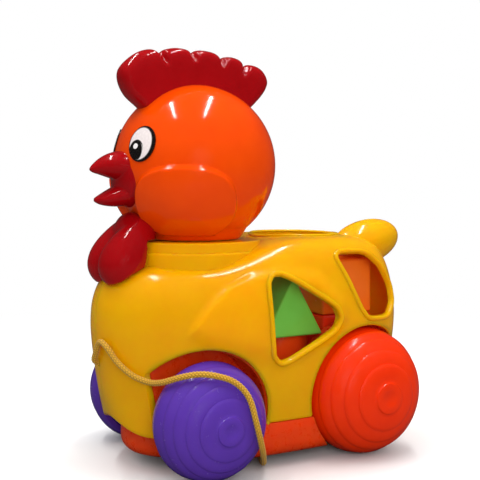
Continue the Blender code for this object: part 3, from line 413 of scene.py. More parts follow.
yellow_plastic = moulded_plastic("yellow_polyethylene_glossy", "FDAE00", "F8A500", 0.15, 0.9, 6 * MM)
orange_plastic = moulded_plastic("orange_polyethylene_glossy", "F24C00", "EA4400", 0.11)
red_plastic = moulded_plastic("deep_red_abs_glossy", "A5060E", "970309", 0.12)
purple_plastic = moulded_plastic("purple_polypropylene_satin", "5B35A6", "532F9B", 0.22)
scarlet_plastic = moulded_plastic("scarlet_polypropylene_satin", "F23500", "E92E00", 0.2)
tray_plastic = moulded_plastic("tray_red_polypropylene_satin", "F04208", "E43A04", 0.3, 0.9, 6 * MM)
BLOCK_COLOURS = (("scarlet", "F04A10", "E6420C", 0.22), ("green", "78CC50", "6CC044", 0.2),
                 ("red", "F03A1A", "E63214", 0.22), ("orange", "FB7A20", "F27018", 0.22))
block_plastics = {colour: moulded_plastic(f"{colour}_polystyrene_blocks", *look)
                  for colour, *look in BLOCK_COLOURS}
print(f"{len(bpy.data.materials)} materials so far")

# %% [markdown]
# ## The body shell
# The body is two glued halves with a thin wall. Its side is a formula: a rounded plan outline, a profile
# that tells how far each height reaches, and a raised wing panel with rolled edges. The formula gives fine
# rings here, and the two windows, the wheel arches and the round holes are cut once for both halves. The
# wall's cut edge would be a bare knife edge, so each opening gets the moulded bead or rim that it has.

# %% Body form
WALL = 2.2 * MM
HALF_WIDTH = 52 * MM
MIDDLE_Y = -7.5 * MM
CHEST_LENGTH, RUMP_LENGTH = 90.5 * MM, 87.5 * MM
CHEST_SQUARENESS, RUMP_SQUARENESS = 2.15, 3.4
SHOULDER_Z = 109.5 * MM
RISE, RISE_START_Y, RISE_LENGTH, RISE_FROM_Z = 11 * MM, -52 * MM, 62 * MM, 84 * MM
PROFILE = [(0.92, 25), (0.955, 40), (0.982, 56), (0.998, 69), (1.0, 79), (0.988, 88), (0.952, 96.5),
           (0.89, 102.8), (0.8, 106.6), (0.68, 108.7), (0.5, 109.4), (0.26, 109.5)]
ROOF_SHARE, ROOF_START_Z, ROOF_LENGTH, ROOF_EDGE_SHARE = 0.6, 80 * MM, 25 * MM, 0.3
WING_OUTLINE = [(-66.0, 71.0), (-62.5, 80.0), (-55.0, 90.0), (-45.0, 98.5), (-27.0, 105.5), (-8.0, 108.5),
                (12.0, 105.5), (29.0, 88.0), (31.0, 76.0), (20.0, 64.0), (-16.0, 51.0), (-48.0, 60.0)]
WING_ROLLS = [3, 3, 3, 3, 5, 9, 9, 9, 9, 9, 14, 10]
WING_HEIGHT = 2.4 * MM
BODY_TURNS = 440
BODY_LEVELS_EACH = 9
BODY_EDGE_Z, EDGE_RISE, FENDER_DROP = 25 * MM, 2.5 * MM, 5 * MM
FENDER_START_DEG, FENDER_END_DEG, FENDER_FADE_DEG = 34, 50, 16
BASE_SET_BACK, SET_BACK_END_DEG, SET_BACK_FADE_DEG = 10 * MM, 38, 14
profile_curve = [(p.x, p.y * MM) for p in catmull([(s, h, 0) for s, h in PROFILE], BODY_LEVELS_EACH)]


def outline_point(turn, share, inset):
    forward, side = math.cos(turn), math.sin(turn)
    length = (CHEST_LENGTH if forward > 0 else RUMP_LENGTH) - inset
    power = 2 / (CHEST_SQUARENESS if forward > 0 else RUMP_SQUARENESS)
    x = math.copysign(abs(side) ** power, side) * (HALF_WIDTH - inset) * share
    return x, MIDDLE_Y - math.copysign(abs(forward) ** power, forward) * length * share


def back_rise(y, z):
    along = smooth_step((y - RISE_START_Y) / RISE_LENGTH)
    return RISE * along * smooth_step((z - RISE_FROM_Z) / (SHOULDER_Z - RISE_FROM_Z))


def wing_height(y, z):
    spot, share = Vector((y / MM, z / MM)), 1.0
    for i, start in enumerate(WING_OUTLINE):
        start = Vector(start)
        along = (Vector(WING_OUTLINE[(i + 1) % len(WING_OUTLINE)]) - start).normalized()
        offset = spot - start
        inwards = along.y * offset.x - along.x * offset.y
        share = min(share, smooth_step(inwards / WING_ROLLS[i]))
        if share == 0.0:
            return 0.0
    return WING_HEIGHT * share


def body_point(turn, share, height, inset):
    x, y = outline_point(turn, share, inset)
    z = height + back_rise(y, height)
    if inset == 0 and abs(x) > HALF_WIDTH / 2:
        x += math.copysign(wing_height(y, z), x)
    sunk = 1.0 if share < ROOF_SHARE else smooth_step((height - ROOF_START_Z) / ROOF_LENGTH)
    return x, y, z - inset * sunk


def share_at(height):
    for (s0, h0), (s1, h1) in zip(profile_curve, profile_curve[1:]):
        if h0 <= height <= h1 and h1 > h0:
            return s0 + (s1 - s0) * (height - h0) / (h1 - h0)
    return profile_curve[0][0] if height < profile_curve[0][1] else ROOF_EDGE_SHARE


def from_front(turn):
    """Degrees from the front, either way round."""
    return abs((math.degrees(turn) + 180) % 360 - 180)


def edge_z(turn):
    """The body's lower edge: a little raised at the middle of the chest and low in front of the wheels."""
    away = from_front(turn)
    low = smooth_step(away / FENDER_START_DEG) - smooth_step((away - FENDER_END_DEG) / FENDER_FADE_DEG)
    rise = EDGE_RISE * (1 - smooth_step(away / FENDER_START_DEG))
    return BODY_EDGE_Z + rise - FENDER_DROP * low


def half_width(y, share):
    """How far out the plan outline reaches at a Y, where the profile has this share of its full reach."""
    length, power = (CHEST_LENGTH, CHEST_SQUARENESS) if y < MIDDLE_Y else (RUMP_LENGTH, RUMP_SQUARENESS)
    reach = abs(y - MIDDLE_Y) / (length * share)
    return HALF_WIDTH * share * max(1 - reach ** power, 0.0) ** (1 / power)


def side_x(y, z):
    """How far out the body's side stands at a place, on the left side."""
    height = z
    for _ in range(12):
        height = z - back_rise(y, height)
    return half_width(y, share_at(height)) + wing_height(y, z)


EDGE_ROLL = [(BASE_SET_BACK, 0), (0.7 * MM, 0), (0.3 * MM, 0.1 * MM), (0.08 * MM, 0.35 * MM)]


def body_solid(name, inset, facets, levels, lowest=None):
    turns = full_turn(facets, 0.5)
    foot, skirt_top = PROFILE[0][0], PROFILE[1][1] * MM
    if lowest is not None:
        rings = [[(*outline_point(t, foot, inset), lowest) for t in turns]]
    else:
        rings = [[(*outline_point(t, foot, s), edge_z(t) + h) for t in turns] for s, h in EDGE_ROLL]
    for share, height in levels:
        ring = []
        for t in turns:
            x, y, z = body_point(t, share, height, inset)
            if height < skirt_top and lowest is None:
                z = skirt_top - (skirt_top - z) * (skirt_top - edge_z(t)) / (skirt_top - BODY_EDGE_Z)
            ring.append((x, y, z))
        rings.append(ring)
    top = SHOULDER_Z + back_rise(MIDDLE_Y, SHOULDER_Z) - inset
    rings.append([(0, MIDDLE_Y, top)])
    return loft(name, rings)


# %% Openings of the body
GAP = 0.3 * MM
NECK_Y = -39.7 * MM
COLLAR_RADIUS, COLLAR_STEP, COLLAR_STEP_Z, COLLAR_TOP_Z = 38.5 * MM, 2.0 * MM, 114 * MM, 119.2 * MM
COLLAR_DEPTH, COLLAR_EDGE = 30 * MM, 1.2 * MM
NECK_RADIUS = 19 * MM
SLIDE_FIT = 0.4 * MM
TAIL_CENTRE, TAIL_HALF = Vector((0, 77.6, 113.5)) * MM, Vector((14.5, 24.0, 13.5)) * MM
TAIL_TILT = math.radians(14)
TRIANGLE_WINDOW = [(-18.6, 102.0), (-21.4, 97.5), (-19.0, 61.5), (-14.5, 57.0), (-9.0, 58.0),
                   (8.0, 66.5), (19.0, 72.6), (21.4, 78.0), (18.5, 83.8), (-13.5, 102.6)]
RUMP_WINDOW = [(23.0, 112.0), (31.0, 98.0), (39.0, 82.0), (44.5, 76.3), (61.0, 75.5),
               (67.5, 82.5), (66.5, 91.0), (57.5, 103.5), (46.0, 111.7)]
CORNER_SHARE = 0.62
BACK_HOLE_Y, BACK_HOLE_RADIUS = 25.3 * MM, 25 * MM
CORD_HOLE_Z, CORD_HOLE_RADIUS = 56 * MM, 2.2 * MM
FRONT_AXLE_Y, REAR_AXLE_Y = -53.5 * MM, 43.0 * MM
FRONT_RADIUS, REAR_RADIUS = 30 * MM, 34.8 * MM
FRONT_ARCH_Y, FRONT_ARCH_Z, FRONT_ARCH, REAR_ARCH = -54.6 * MM, 31.2 * MM, 34.2 * MM, 36.5 * MM
FRONT_WELL_X, REAR_WELL_X, WELL_SIDE_WALL, WELL_WALL = 27 * MM, 31 * MM, 2.0 * MM, 1.8 * MM
ARCH_LIP = WALL / 2
BASE_BOTTOM_Z = 6 * MM
OUTSIDE = 150 * MM
SEAM = 0.15 * MM
# Each well as (Y, Z, radius of the arch, X of its inner wall).
WELLS = ((FRONT_ARCH_Y, FRONT_ARCH_Z, FRONT_ARCH, FRONT_WELL_X),
         (REAR_AXLE_Y, REAR_RADIUS, REAR_ARCH, REAR_WELL_X))


def well_cylinders(grown, deeper=0.0):
    """A cylinder for each well of both sides, with its radius and its start in X changed by so much."""
    for side, _ in SIDES:
        for y, z, arch, wall_x in WELLS:
            ends = sorted((side * (wall_x + deeper), side * OUTSIDE))
            yield rod("well", "X", *ends, arch + grown, (0, y, z), 120)


def rounded_outline(points, steps=8):
    """A polygon in (Y, Z) with its corners rounded off, each edge kept straight in its middle."""
    curve = []
    for before, here, after in zip(points[-1:] + points, points, points[1:] + points[:1]):
        before, here, after = Vector(before), Vector(here), Vector(after)
        start, end = here.lerp(before, CORNER_SHARE / 2), here.lerp(after, CORNER_SHARE / 2)
        for k in range(steps):
            t = k / steps
            curve.append(start * (1 - t) ** 2 + here * 2 * t * (1 - t) + end * t * t)
    return curve


def window_cutter(outline, side):
    ends = sorted((side * 24 * MM, side * OUTSIDE))
    return loft("window", [[(x, p.x * MM, p.y * MM) for p in outline] for x in ends])


def collar(inset, facets=176):
    outer, upper = COLLAR_RADIUS - inset, COLLAR_RADIUS - COLLAR_STEP - inset
    profile = [(COLLAR_TOP_Z - COLLAR_DEPTH, outer)]
    for z, radius in ((COLLAR_STEP_Z - inset, outer), (COLLAR_TOP_Z - inset, upper)):
        z, radius = z - COLLAR_EDGE, radius - COLLAR_EDGE
        profile += [(z + COLLAR_EDGE * math.sin(a), radius + COLLAR_EDGE * math.cos(a))
                    for a in quarter_turn(6)]
    return turned("collar", profile, facets, "Z", (0, NECK_Y, 0))


def body_shell():
    shell = body_solid("shell", 0, BODY_TURNS, profile_curve[1:])
    tail = ellipsoid("tail", TAIL_CENTRE, TAIL_HALF, TAIL_TILT, facets=96, levels=48)
    combine(shell, "UNION", collar(0), tail)
    hollow = body_solid("hollow", WALL, 160, profile_curve[::6] + profile_curve[-1:], lowest=BASE_BOTTOM_Z)
    tail_hollow = ellipsoid("tail_hollow", TAIL_CENTRE, TAIL_HALF - Vector((WALL, WALL, WALL)), TAIL_TILT)
    combine(hollow, "UNION", collar(WALL, 96), tail_hollow)
    cutters = [rod("neck_hole", "Z", COLLAR_TOP_Z - 10 * MM, COLLAR_TOP_Z + 10 * MM, NECK_RADIUS + SLIDE_FIT,
                   (0, NECK_Y, 0), 96),
               rod("back_hole", "Z", SHOULDER_Z, SHOULDER_Z + 30 * MM, BACK_HOLE_RADIUS,
                   (0, BACK_HOLE_Y, 0), 120),
               rod("cord_hole", "Y", -OUTSIDE, -CHEST_LENGTH / 2, CORD_HOLE_RADIUS, (0, 0, CORD_HOLE_Z), 32)]
    cutters += well_cylinders(ARCH_LIP, WELL_SIDE_WALL)
    cutters += [window_cutter(rounded_outline(points), side)
                for side, _ in SIDES for points in (TRIANGLE_WINDOW, RUMP_WINDOW)]
    combine(shell, "DIFFERENCE", hollow)
    return combine(shell, "DIFFERENCE", *cutters)


finish_halves(body_shell(), "body", SEAM, "toy_body", yellow_plastic, "yellow")

# %% [markdown]
# ## Beads round the openings
# A moulded window has a raised rim, so that a child's fingers meet a round edge. Each rim is a small section
# swept round the window on the body's own surface. The neck and the hole in the back have a finer bead of
# the same kind. The edge of a wheel arch is only rounded: it is a round of the wall's own thickness.


# %% Rims and beads
RIM_WIDTH, RIM_HEIGHT = 3.0 * MM, 1.0 * MM
RIM_SECTION = [(0, 0.1), (0.12, 0.7), (0.3, 1), (0.6, 1), (0.82, 0.6), (1, -0.3)]
LIP_FROM_Z = 21.5 * MM
LIP_START_DEG, LIP_SPAN_DEG, LIP_STEPS = -14, 208, 120


def sweep(name, path, section, normals, closed=True):
    """A section of (along the surface, off the surface) swept along a path that lies on a surface."""
    count = len(path)
    rings = []
    for i, point in enumerate(path):
        before = path[i - 1] if closed or i else point
        after = path[(i + 1) % count] if closed or i < count - 1 else point
        along = (after - before).normalized()
        normal = (normals[i] - along * normals[i].dot(along)).normalized()
        outwards = normal.cross(along)
        rings.append([point + outwards * s + normal * h for s, h in section])
    return loft(name, rings, close=closed, edge_angle=60)


def side_normal(y, z, side):
    step = 1.0 * MM
    slope_y = (side_x(y + step, z) - side_x(y - step, z)) / (2 * step)
    slope_z = (side_x(y, z + step) - side_x(y, z - step)) / (2 * step)
    return Vector((side, -slope_y, -slope_z)).normalized()


def window_rim(points, side):
    outline = rounded_outline(points, 6)
    face = [(s * RIM_WIDTH, h * RIM_HEIGHT) for s, h in RIM_SECTION]
    section = [(0, -WALL)] + face + [(RIM_WIDTH / 2, -WALL)]
    path, normals = [], []
    for p in outline:
        y, z = p.x * MM, p.y * MM
        path.append(Vector((side * side_x(y, z), y, z)))
        normals.append(side_normal(y, z, side))
    area = sum(a.x * b.y - b.x * a.y for a, b in zip(outline, outline[1:] + outline[:1]))
    away = -side if area > 0 else side
    return sweep("rim", path, [(away * s, h) for s, h in section], normals)


def arch_lip(side, y, z, arch, wall_x):
    """The rounded lip of a wheel arch: a round of the wall's own thickness, flush with the body's side."""
    path, normals = [], []
    radius = arch + ARCH_LIP
    for i in range(LIP_STEPS + 1):
        t = math.radians(LIP_START_DEG + LIP_SPAN_DEG * i / LIP_STEPS)
        py, pz = y - radius * math.cos(t), z + radius * math.sin(t)
        if pz < LIP_FROM_Z or side_x(py, pz) < wall_x + WELL_SIDE_WALL + ARCH_LIP:
            continue
        normal = side_normal(py, pz, side)
        path.append(Vector((side * side_x(py, pz), py, pz)) - normal * ARCH_LIP)
        normals.append(normal)
    section = [(ARCH_LIP * math.cos(a), ARCH_LIP * math.sin(a)) for a in full_turn(16)]
    return sweep("arch_lip", path, section, normals, closed=False)


def level_bead(name, centre_y, radius, size, surface):
    """A half-round bead that lies round an upright hole, on a surface that tells its Z at an X and Y."""
    path = []
    for t in full_turn(96):
        x, y = radius * math.cos(t), centre_y + radius * math.sin(t)
        path.append(Vector((x, y, surface(x, y))))
    section = [(size * math.cos(a), size * math.sin(a)) for a in (math.pi * i / 8 for i in range(9))]
    return sweep(name, path, section, [Vector((0, 0, 1))] * len(path))


def roof_z(x, y):
    """Height of the body's roof, found by walking in from the side."""
    low, high = PROFILE[-1][0], 1.0
    for _ in range(24):
        share = (low + high) / 2
        low, high = (share, high) if half_width(y, share) <= abs(x) else (low, share)
    levels = zip(profile_curve[::-1], profile_curve[-2::-1])
    height = next((h for (_, h), (below, _) in levels if below > high), SHOULDER_Z)
    return height + back_rise(y, height)


rims = []
for side, side_name in SIDES:
    beads = [window_rim(points, side) for points in (TRIANGLE_WINDOW, RUMP_WINDOW)]
    beads += [arch_lip(side, *well) for well in WELLS]
    rims.append(smooth(merged(f"body_rims_{side_name}", *beads), 60))
rims.append(level_bead("back_hole_rim", BACK_HOLE_Y, BACK_HOLE_RADIUS + 0.6 * MM, 1.1 * MM, roof_z))
rims.append(level_bead("neck_hole_rim", NECK_Y, NECK_RADIUS + SLIDE_FIT + 0.9 * MM, 0.8 * MM,
                       lambda x, y: COLLAR_TOP_Z - 0.5 * MM))
for rim in rims:
    finish_piece(rim, "toy_body", yellow_plastic, "yellow")
print(f"rims: {sum(len(r.data.polygons) for r in rims)} faces")

# %% [markdown]
# ## The base tray
# The base is one moulding: a skirt that closes the body from below, a deck, four wheel wells and the bosses
# that the axles turn in. It is cut from the same body form, so the skirt runs on from the body's edge.

# %% Base tray
BASE_ROLL, DECK_TOP_Z = 8 * MM, 44 * MM
BASE_TURNS = full_turn(200, 0.5)
# Each axle as (Y, Z, X of the well's inner wall), and each pair of posts in mm as (X, Y, Y of its end wall).
AXLES = ((FRONT_AXLE_Y, FRONT_RADIUS, FRONT_WELL_X), (REAR_AXLE_Y, REAR_RADIUS, REAR_WELL_X))
POSTS = ((18, -64, -86.5), (17, 64, 72.5))
AXLE_RADIUS, BOSS_RADIUS, BOSS_LENGTH = 2 * MM, 5 * MM, 7 * MM
SCREW_RADIUS = 1.2 * MM
SCREW_PLACES = [(side * x * MM, y * MM) for x, y, _ in POSTS for side, _ in SIDES]
POST_RADIUS, POST_HEIGHT, RIB_THICKNESS = 3.4 * MM, 15 * MM, 1.8 * MM


def base_rings(levels):
    """Rings of the base, each from a level: (set in, height, set back under the chest, lift where set back).
    Heights between the roll and the body's edge follow that edge."""
    rings = []
    for inset, z, set_back, lift in levels:
        ring = []
        for t in BASE_TURNS:
            back = 1 - smooth_step((from_front(t) - SET_BACK_END_DEG) / SET_BACK_FADE_DEG)
            follow = edge_z(t) - BODY_EDGE_Z if BASE_BOTTOM_Z + BASE_ROLL < z <= BODY_EDGE_Z else 0
            x, y = outline_point(t, PROFILE[0][0], inset + set_back * back)
            ring.append((x, y, z + lift * back + follow))
        rings.append(ring)
    return rings


def base_hollow(top, lip, back):
    mouth, inner = BASE_ROLL + WALL, lip + WALL
    levels = [(mouth, -BASE_BOTTOM_Z, back, 0), (mouth, BASE_BOTTOM_Z, back, 0),
              (WALL, BASE_BOTTOM_Z + BASE_ROLL, back, 0), (WALL, top - inner, back, inner + WALL),
              (inner, top - WALL, 0, 2 * WALL), (inner, DECK_TOP_Z - WALL, 0, 0)]
    return loft("hollow", base_rings(levels))


def base_tray():
    lip, top, back = WALL + SLIDE_FIT, BODY_EDGE_Z - GAP, BASE_SET_BACK
    roll = [(BASE_ROLL * (1 - math.sin(a)), BASE_BOTTOM_Z + BASE_ROLL * (1 - math.cos(a)), back, 0)
            for a in quarter_turn(10)]
    rim = [(0, top - 0.6 * MM, back, 0), (0.3 * MM, top - 0.15 * MM, back, 0), (0.8 * MM, top, back, 0),
           (lip, top, 0, 0)]
    rings = base_rings(roll + rim)
    rings.append([(*outline_point(t, PROFILE[0][0], lip), max(BODY_EDGE_Z, edge_z(t))) for t in BASE_TURNS])
    for share, height in PROFILE[2:7:2]:
        rings.append([body_point(t, share, height * MM, lip) for t in BASE_TURNS])
    tray = loft("base_tray_moulding", rings)
    mask = box("mask", (-OUTSIDE, -OUTSIDE, -OUTSIDE), (OUTSIDE, OUTSIDE, DECK_TOP_Z))
    combine(mask, "UNION", *well_cylinders(WELL_WALL - GAP))
    combine(tray, "INTERSECT", mask)
    hollow = base_hollow(top, lip, back)
    kept = list(well_cylinders(WELL_WALL - GAP))
    for y, z, wall_x in AXLES:
        for side, _ in SIDES:
            ends = sorted((side * (wall_x - BOSS_LENGTH), side * (wall_x + 1 * MM)))
            kept.append(rod("boss", "X", *ends, BOSS_RADIUS, (0, y, z), 48))
    combine(hollow, "DIFFERENCE", *kept)
    combine(tray, "DIFFERENCE", hollow)
    combine(tray, "DIFFERENCE", *well_cylinders(-GAP, WELL_SIDE_WALL))
    bores = [rod("bore", "X", -HALF_WIDTH, HALF_WIDTH, AXLE_RADIUS + GAP, (0, y, z), 32)
             for y, z, _ in AXLES]
    low, high = DECK_TOP_Z - 2 * WALL, DECK_TOP_Z + WALL
    bores += [rod("screw_hole", "Z", low, high, SCREW_RADIUS + GAP, (x, y, 0), 24) for x, y in SCREW_PLACES]
    combine(tray, "DIFFERENCE", *bores, solver="MANIFOLD")
    return smooth(tray, 40)


def body_post(side, x, y, wall_y):
    """A short post inside the body that takes a screw from below, with a rib to the end wall."""
    x, y, wall_y, foot = side * x * MM, y * MM, wall_y * MM, DECK_TOP_Z + GAP
    post = rod("post", "Z", foot, DECK_TOP_Z + POST_HEIGHT, POST_RADIUS, (x, y, 0), 48)
    rib = box("rib", (x - RIB_THICKNESS / 2, min(y, wall_y), foot + GAP),
              (x + RIB_THICKNESS / 2, max(y, wall_y), DECK_TOP_Z + POST_HEIGHT - 1 * MM))
    return smooth(combine(post, "UNION", rib))


tray = base_tray()
finish_piece(tray, "toy_body", tray_plastic, "tray_red", "base_tray")
posts = merged("body_posts", *[body_post(side, *post) for post in POSTS for side, _ in SIDES])
finish_piece(posts, "toy_body", yellow_plastic, "yellow")
print(f"{tray.name}: {len(tray.data.polygons)} faces")

# %% [markdown]
# ## The head
# The head is blow-moulded: a ball with a squarish raised cheek on each side, drawn in at the bottom to a
# neck that turns in the body's collar. It is made as rings of directions from its centre, so the cheek is
# simply a longer radius in some directions. Two halves meet at a fine parting line.

# %% Head
HEAD_CENTRE = Vector((0, -39.7, 160)) * MM
HEAD_RADIUS, HEAD_WALL = 45 * MM, 2.2 * MM
HEAD_BOTTOM_Z, HEAD_SKIRT = 119.8 * MM, 26 * MM
FLANGE_RADIUS, FLANGE_THICKNESS = 25 * MM, 2.2 * MM
CHEEK_AZIMUTH, CHEEK_ELEVATION = math.radians(56), math.radians(-29)
CHEEK_ACROSS, CHEEK_UP, CHEEK_SQUARENESS = math.radians(37), math.radians(29), 3
CHEEK_HEIGHT, CHEEK_LIP, CHEEK_LIP_WIDTH = 5.2 * MM, 0.62, 0.12
HEAD_TURNS = full_turn(400, 0.5)
HEAD_LEVELS = [math.radians(a) for a in range(89, -51, -1)]


def direction(azimuth, elevation):
    """Unit vector at an angle from the front (-Y) round by the left (+X), and up."""
    flat = math.cos(elevation)
    return Vector((math.sin(azimuth) * flat, -math.cos(azimuth) * flat, math.sin(elevation)))


def cheek_height(way):
    """A lip at the cheek's edge, and from there a soft rise to its middle."""
    side = 1 if way.x > 0 else -1
    middle = direction(side * CHEEK_AZIMUTH, CHEEK_ELEVATION)
    across = Vector((0, 0, 1)).cross(middle).normalized()
    ahead = way.dot(middle)
    wide = math.atan2(abs(way.dot(across)), ahead) / CHEEK_ACROSS
    high = math.atan2(abs(way.dot(middle.cross(across))), ahead) / CHEEK_UP
    inwards = 1 - (wide ** CHEEK_SQUARENESS + high ** CHEEK_SQUARENESS) ** (1 / CHEEK_SQUARENESS)
    lip, rise = smooth_step(inwards / CHEEK_LIP_WIDTH), smooth_step(inwards)
    return CHEEK_HEIGHT * (CHEEK_LIP * lip + (1 - CHEEK_LIP) * rise)


def head_ring(elevation, inset):
    ring = []
    for t in HEAD_TURNS:
        way = direction(t, elevation)
        bump = cheek_height(way) if inset == 0 else 0
        ring.append(HEAD_CENTRE + way * (HEAD_RADIUS - inset + bump))
    return ring


def head_ball():
    """Rings down the outside, in to the neck, round its flange and up again on the inside."""
    top, bottom = COLLAR_TOP_Z - WALL - SLIDE_FIT, HEAD_BOTTOM_Z
    inner, low = NECK_RADIUS - HEAD_WALL, COLLAR_TOP_Z - WALL - SLIDE_FIT - FLANGE_THICKNESS
    neck = [(bottom + 2.4 * MM, HEAD_SKIRT + 1.0 * MM), (bottom + 0.8 * MM, HEAD_SKIRT + 0.1 * MM),
            (bottom, HEAD_SKIRT - 0.8 * MM), (bottom, NECK_RADIUS), (top, NECK_RADIUS), (top, FLANGE_RADIUS),
            (low, FLANGE_RADIUS), (low, inner), (bottom + HEAD_WALL, inner),
            (bottom + HEAD_WALL, HEAD_SKIRT - HEAD_WALL)]
    rings = [[HEAD_CENTRE + Vector((0, 0, HEAD_RADIUS))]] + [head_ring(a, 0) for a in HEAD_LEVELS]
    rings += [[(math.sin(t) * r, NECK_Y - math.cos(t) * r, z) for t in HEAD_TURNS] for z, r in neck]
    rings += [head_ring(a, HEAD_WALL) for a in reversed(HEAD_LEVELS[::8])]
    rings.append([HEAD_CENTRE + Vector((0, 0, HEAD_RADIUS - HEAD_WALL))])
    return loft("head_ball", rings)


finish_halves(head_ball(), "head", SEAM * 0.5, "head", orange_plastic, "orange")

# %% [markdown]
# ## Comb, beak and wattle
# The three red parts are separate mouldings that plug into the head. The comb is a thick plate with puffy
# lobes, so its thickness is a formula: full along a spine, round at the outline, and pinched where two lobes
# meet. The beak and the wattle are rounded forms that run into each other, and a voxel remesh with a little
# smoothing gives them one soft skin.

# %% Comb
# The comb's outline round the head's centre, as (degrees from straight up towards the tail, reach in mm).
COMB_OUTLINE = [(-45.5, 37), (-47.4, 47), (-47.7, 55), (-45.7, 62), (-42.8, 66.9), (-39.3, 69),
                (-33.5, 69.9), (-28, 69.9), (-23.2, 68.5), (-19.8, 65.3), (-16.4, 66.1), (-11, 65.9),
                (-5.8, 64.5), (-2.9, 62.3), (0.2, 64), (4.6, 64.5), (9.8, 64.2), (14.3, 62.1), (16.2, 64),
                (19.9, 65.7), (24.1, 66.2), (28, 64.7), (29.8, 67), (33.6, 69.1), (37.3, 69.6), (41.1, 68.2),
                (43.6, 65.5), (45.4, 59), (45.8, 48), (44, 37), (30, 31.8), (15, 28.5), (0, 27.5),
                (-15, 28.5), (-30, 31.8)]
COMB_NOTCHES = [-19.8, -2.9, 14.3, 28]
COMB_SPINE, COMB_SPINE_ENDS, COMB_HALF, COMB_FULLNESS = 55 * MM, (-41, 39), 8 * MM, 4.0
COMB_SHARES, CREASE_DEG, CREASE_DEPTH = 22, 1.6, 0.45


def comb_way(angle):
    turn = math.radians(angle)
    return Vector((0, math.sin(turn), math.cos(turn)))


def comb():
    """Rings from the spine out to the edge on one side, and back to the spine on the other."""
    outline = catmull([comb_way(a) * r * MM for a, r in COMB_OUTLINE], 9, closed=True)
    shares = [max(math.sin(a), 0.02) for a in quarter_turn(COMB_SHARES)]
    rings = []
    for side, share in [(-1, s) for s in shares] + [(1, s) for s in shares[-2::-1]]:
        ring = []
        for edge in outline:
            angle = math.degrees(math.atan2(edge.y, edge.z))
            spine = comb_way(min(max(angle, COMB_SPINE_ENDS[0]), COMB_SPINE_ENDS[1])) * COMB_SPINE
            thick = COMB_HALF * max(1 - share ** COMB_FULLNESS, 0.0) ** 0.5
            if edge.length > COMB_SPINE:
                pinch = sum(math.exp(-(((angle - n) / CREASE_DEG) ** 2)) for n in COMB_NOTCHES)
                thick *= 1 - CREASE_DEPTH * min(pinch, 1.0) * smooth_step((share - 0.1) / 0.7)
            ring.append(HEAD_CENTRE + spine + (edge - spine) * share + Vector((side * thick, 0, 0)))
        rings.append(ring)
    return loft("comb_moulding", rings, edge_angle=80)


finish_piece(comb(), "head", red_plastic, "red", "comb")

# %% Beak
# Each section as (Y, lowest Z, highest Z, half the width) in mm.
UPPER_BEAK = [(-74, 149, 167, 13), (-84, 151.2, 167.6, 12), (-90, 153.0, 166.3, 9.6),
              (-95, 154.6, 163.8, 6.6), (-99, 155.8, 160.6, 3.2), (-100.9, 156.9, 158.4, 1.2)]
LOWER_BEAK = [(-74, 139, 152, 11.5), (-84, 137.9, 150.2, 10.5), (-90, 138.0, 147.4, 8.2),
              (-95, 138.9, 144.6, 5.2), (-98.4, 140.4, 142.6, 1.6)]


def jaw(name, sections, facets=48):
    heights = catmull([(y, low, high) for y, low, high, _ in sections], 6)
    widths = catmull([(y, width, 0) for y, *_, width in sections], 6)
    rings = []
    for place, width in zip(heights, widths):
        centre, half = (place.y + place.z) / 2, (place.z - place.y) / 2
        rings.append([(width.y * MM * math.cos(t), place.x * MM, (centre + half * math.sin(t)) * MM)
                      for t in full_turn(facets)])
    return loft(name, rings)


def beak():
    saddle = ellipsoid("saddle", Vector((0, -79, 152.8)) * MM, Vector((15.5, 8.7, 15.6)) * MM)
    form = merged("beak_moulding", jaw("upper", UPPER_BEAK), jaw("lower", LOWER_BEAK), saddle)
    return melt(form, 0.4 * MM, 5)


finish_piece(beak(), "head", red_plastic, "red", "beak")

# %% Wattle
WATTLE_CENTRE, WATTLE_HALF = Vector((8, -80.7, 115.8)) * MM, Vector((11.8, 12.2, 22.9)) * MM
WATTLE_TILT, WATTLE_TAPER = math.radians(-32), 0.42
WATTLE_ROOT, WATTLE_ROOT_HALF = Vector((0, -77, 123)) * MM, Vector((13, 10, 12)) * MM
CHEST_GAP = 1.2 * MM


def chest_clearance():
    room, top = COLLAR_RADIUS + CHEST_GAP, COLLAR_TOP_Z + CHEST_GAP
    profile = [(BODY_EDGE_Z, 0.0)]
    for share, height in PROFILE[4:9]:
        reach = CHEST_LENGTH * share - (MIDDLE_Y - NECK_Y) + CHEST_GAP
        profile.append((height * MM, max(reach, room)))
    return turned("clearance", profile + [(top, room), (top, 0.0)], 160, "Z", (0, NECK_Y, 0))


def wattle():
    lobes = [ellipsoid("lobe", Vector((s * WATTLE_CENTRE.x, WATTLE_CENTRE.y, WATTLE_CENTRE.z)), WATTLE_HALF,
                       WATTLE_TILT, WATTLE_TAPER) for s in (1, -1)]
    form = merged("wattle_moulding", *lobes, ellipsoid("root", WATTLE_ROOT, WATTLE_ROOT_HALF))
    melt(form, 0.7 * MM, 3)
    combine(form, "DIFFERENCE", chest_clearance())
    return melt(form, 0.7 * MM, 4)


finish_piece(wattle(), "head", red_plastic, "red", "wattle")

# %% [markdown]
# ## The eyes
# Each eye is a printed film, stuck to the head: a white oval with a black border that is wider at the back,
# and a black pupil low at the front with a small white glint. The film is a thin dome on the head's own
# radius. Its UV map runs over the oval, and the print is a stack of ellipses that the shader works out.

# %% Eye print
EYE_AZIMUTH, EYE_ELEVATION = math.radians(25), math.radians(14)
EYE_HALF_WIDTH, EYE_HALF_HEIGHT = 9 * MM, 9.8 * MM
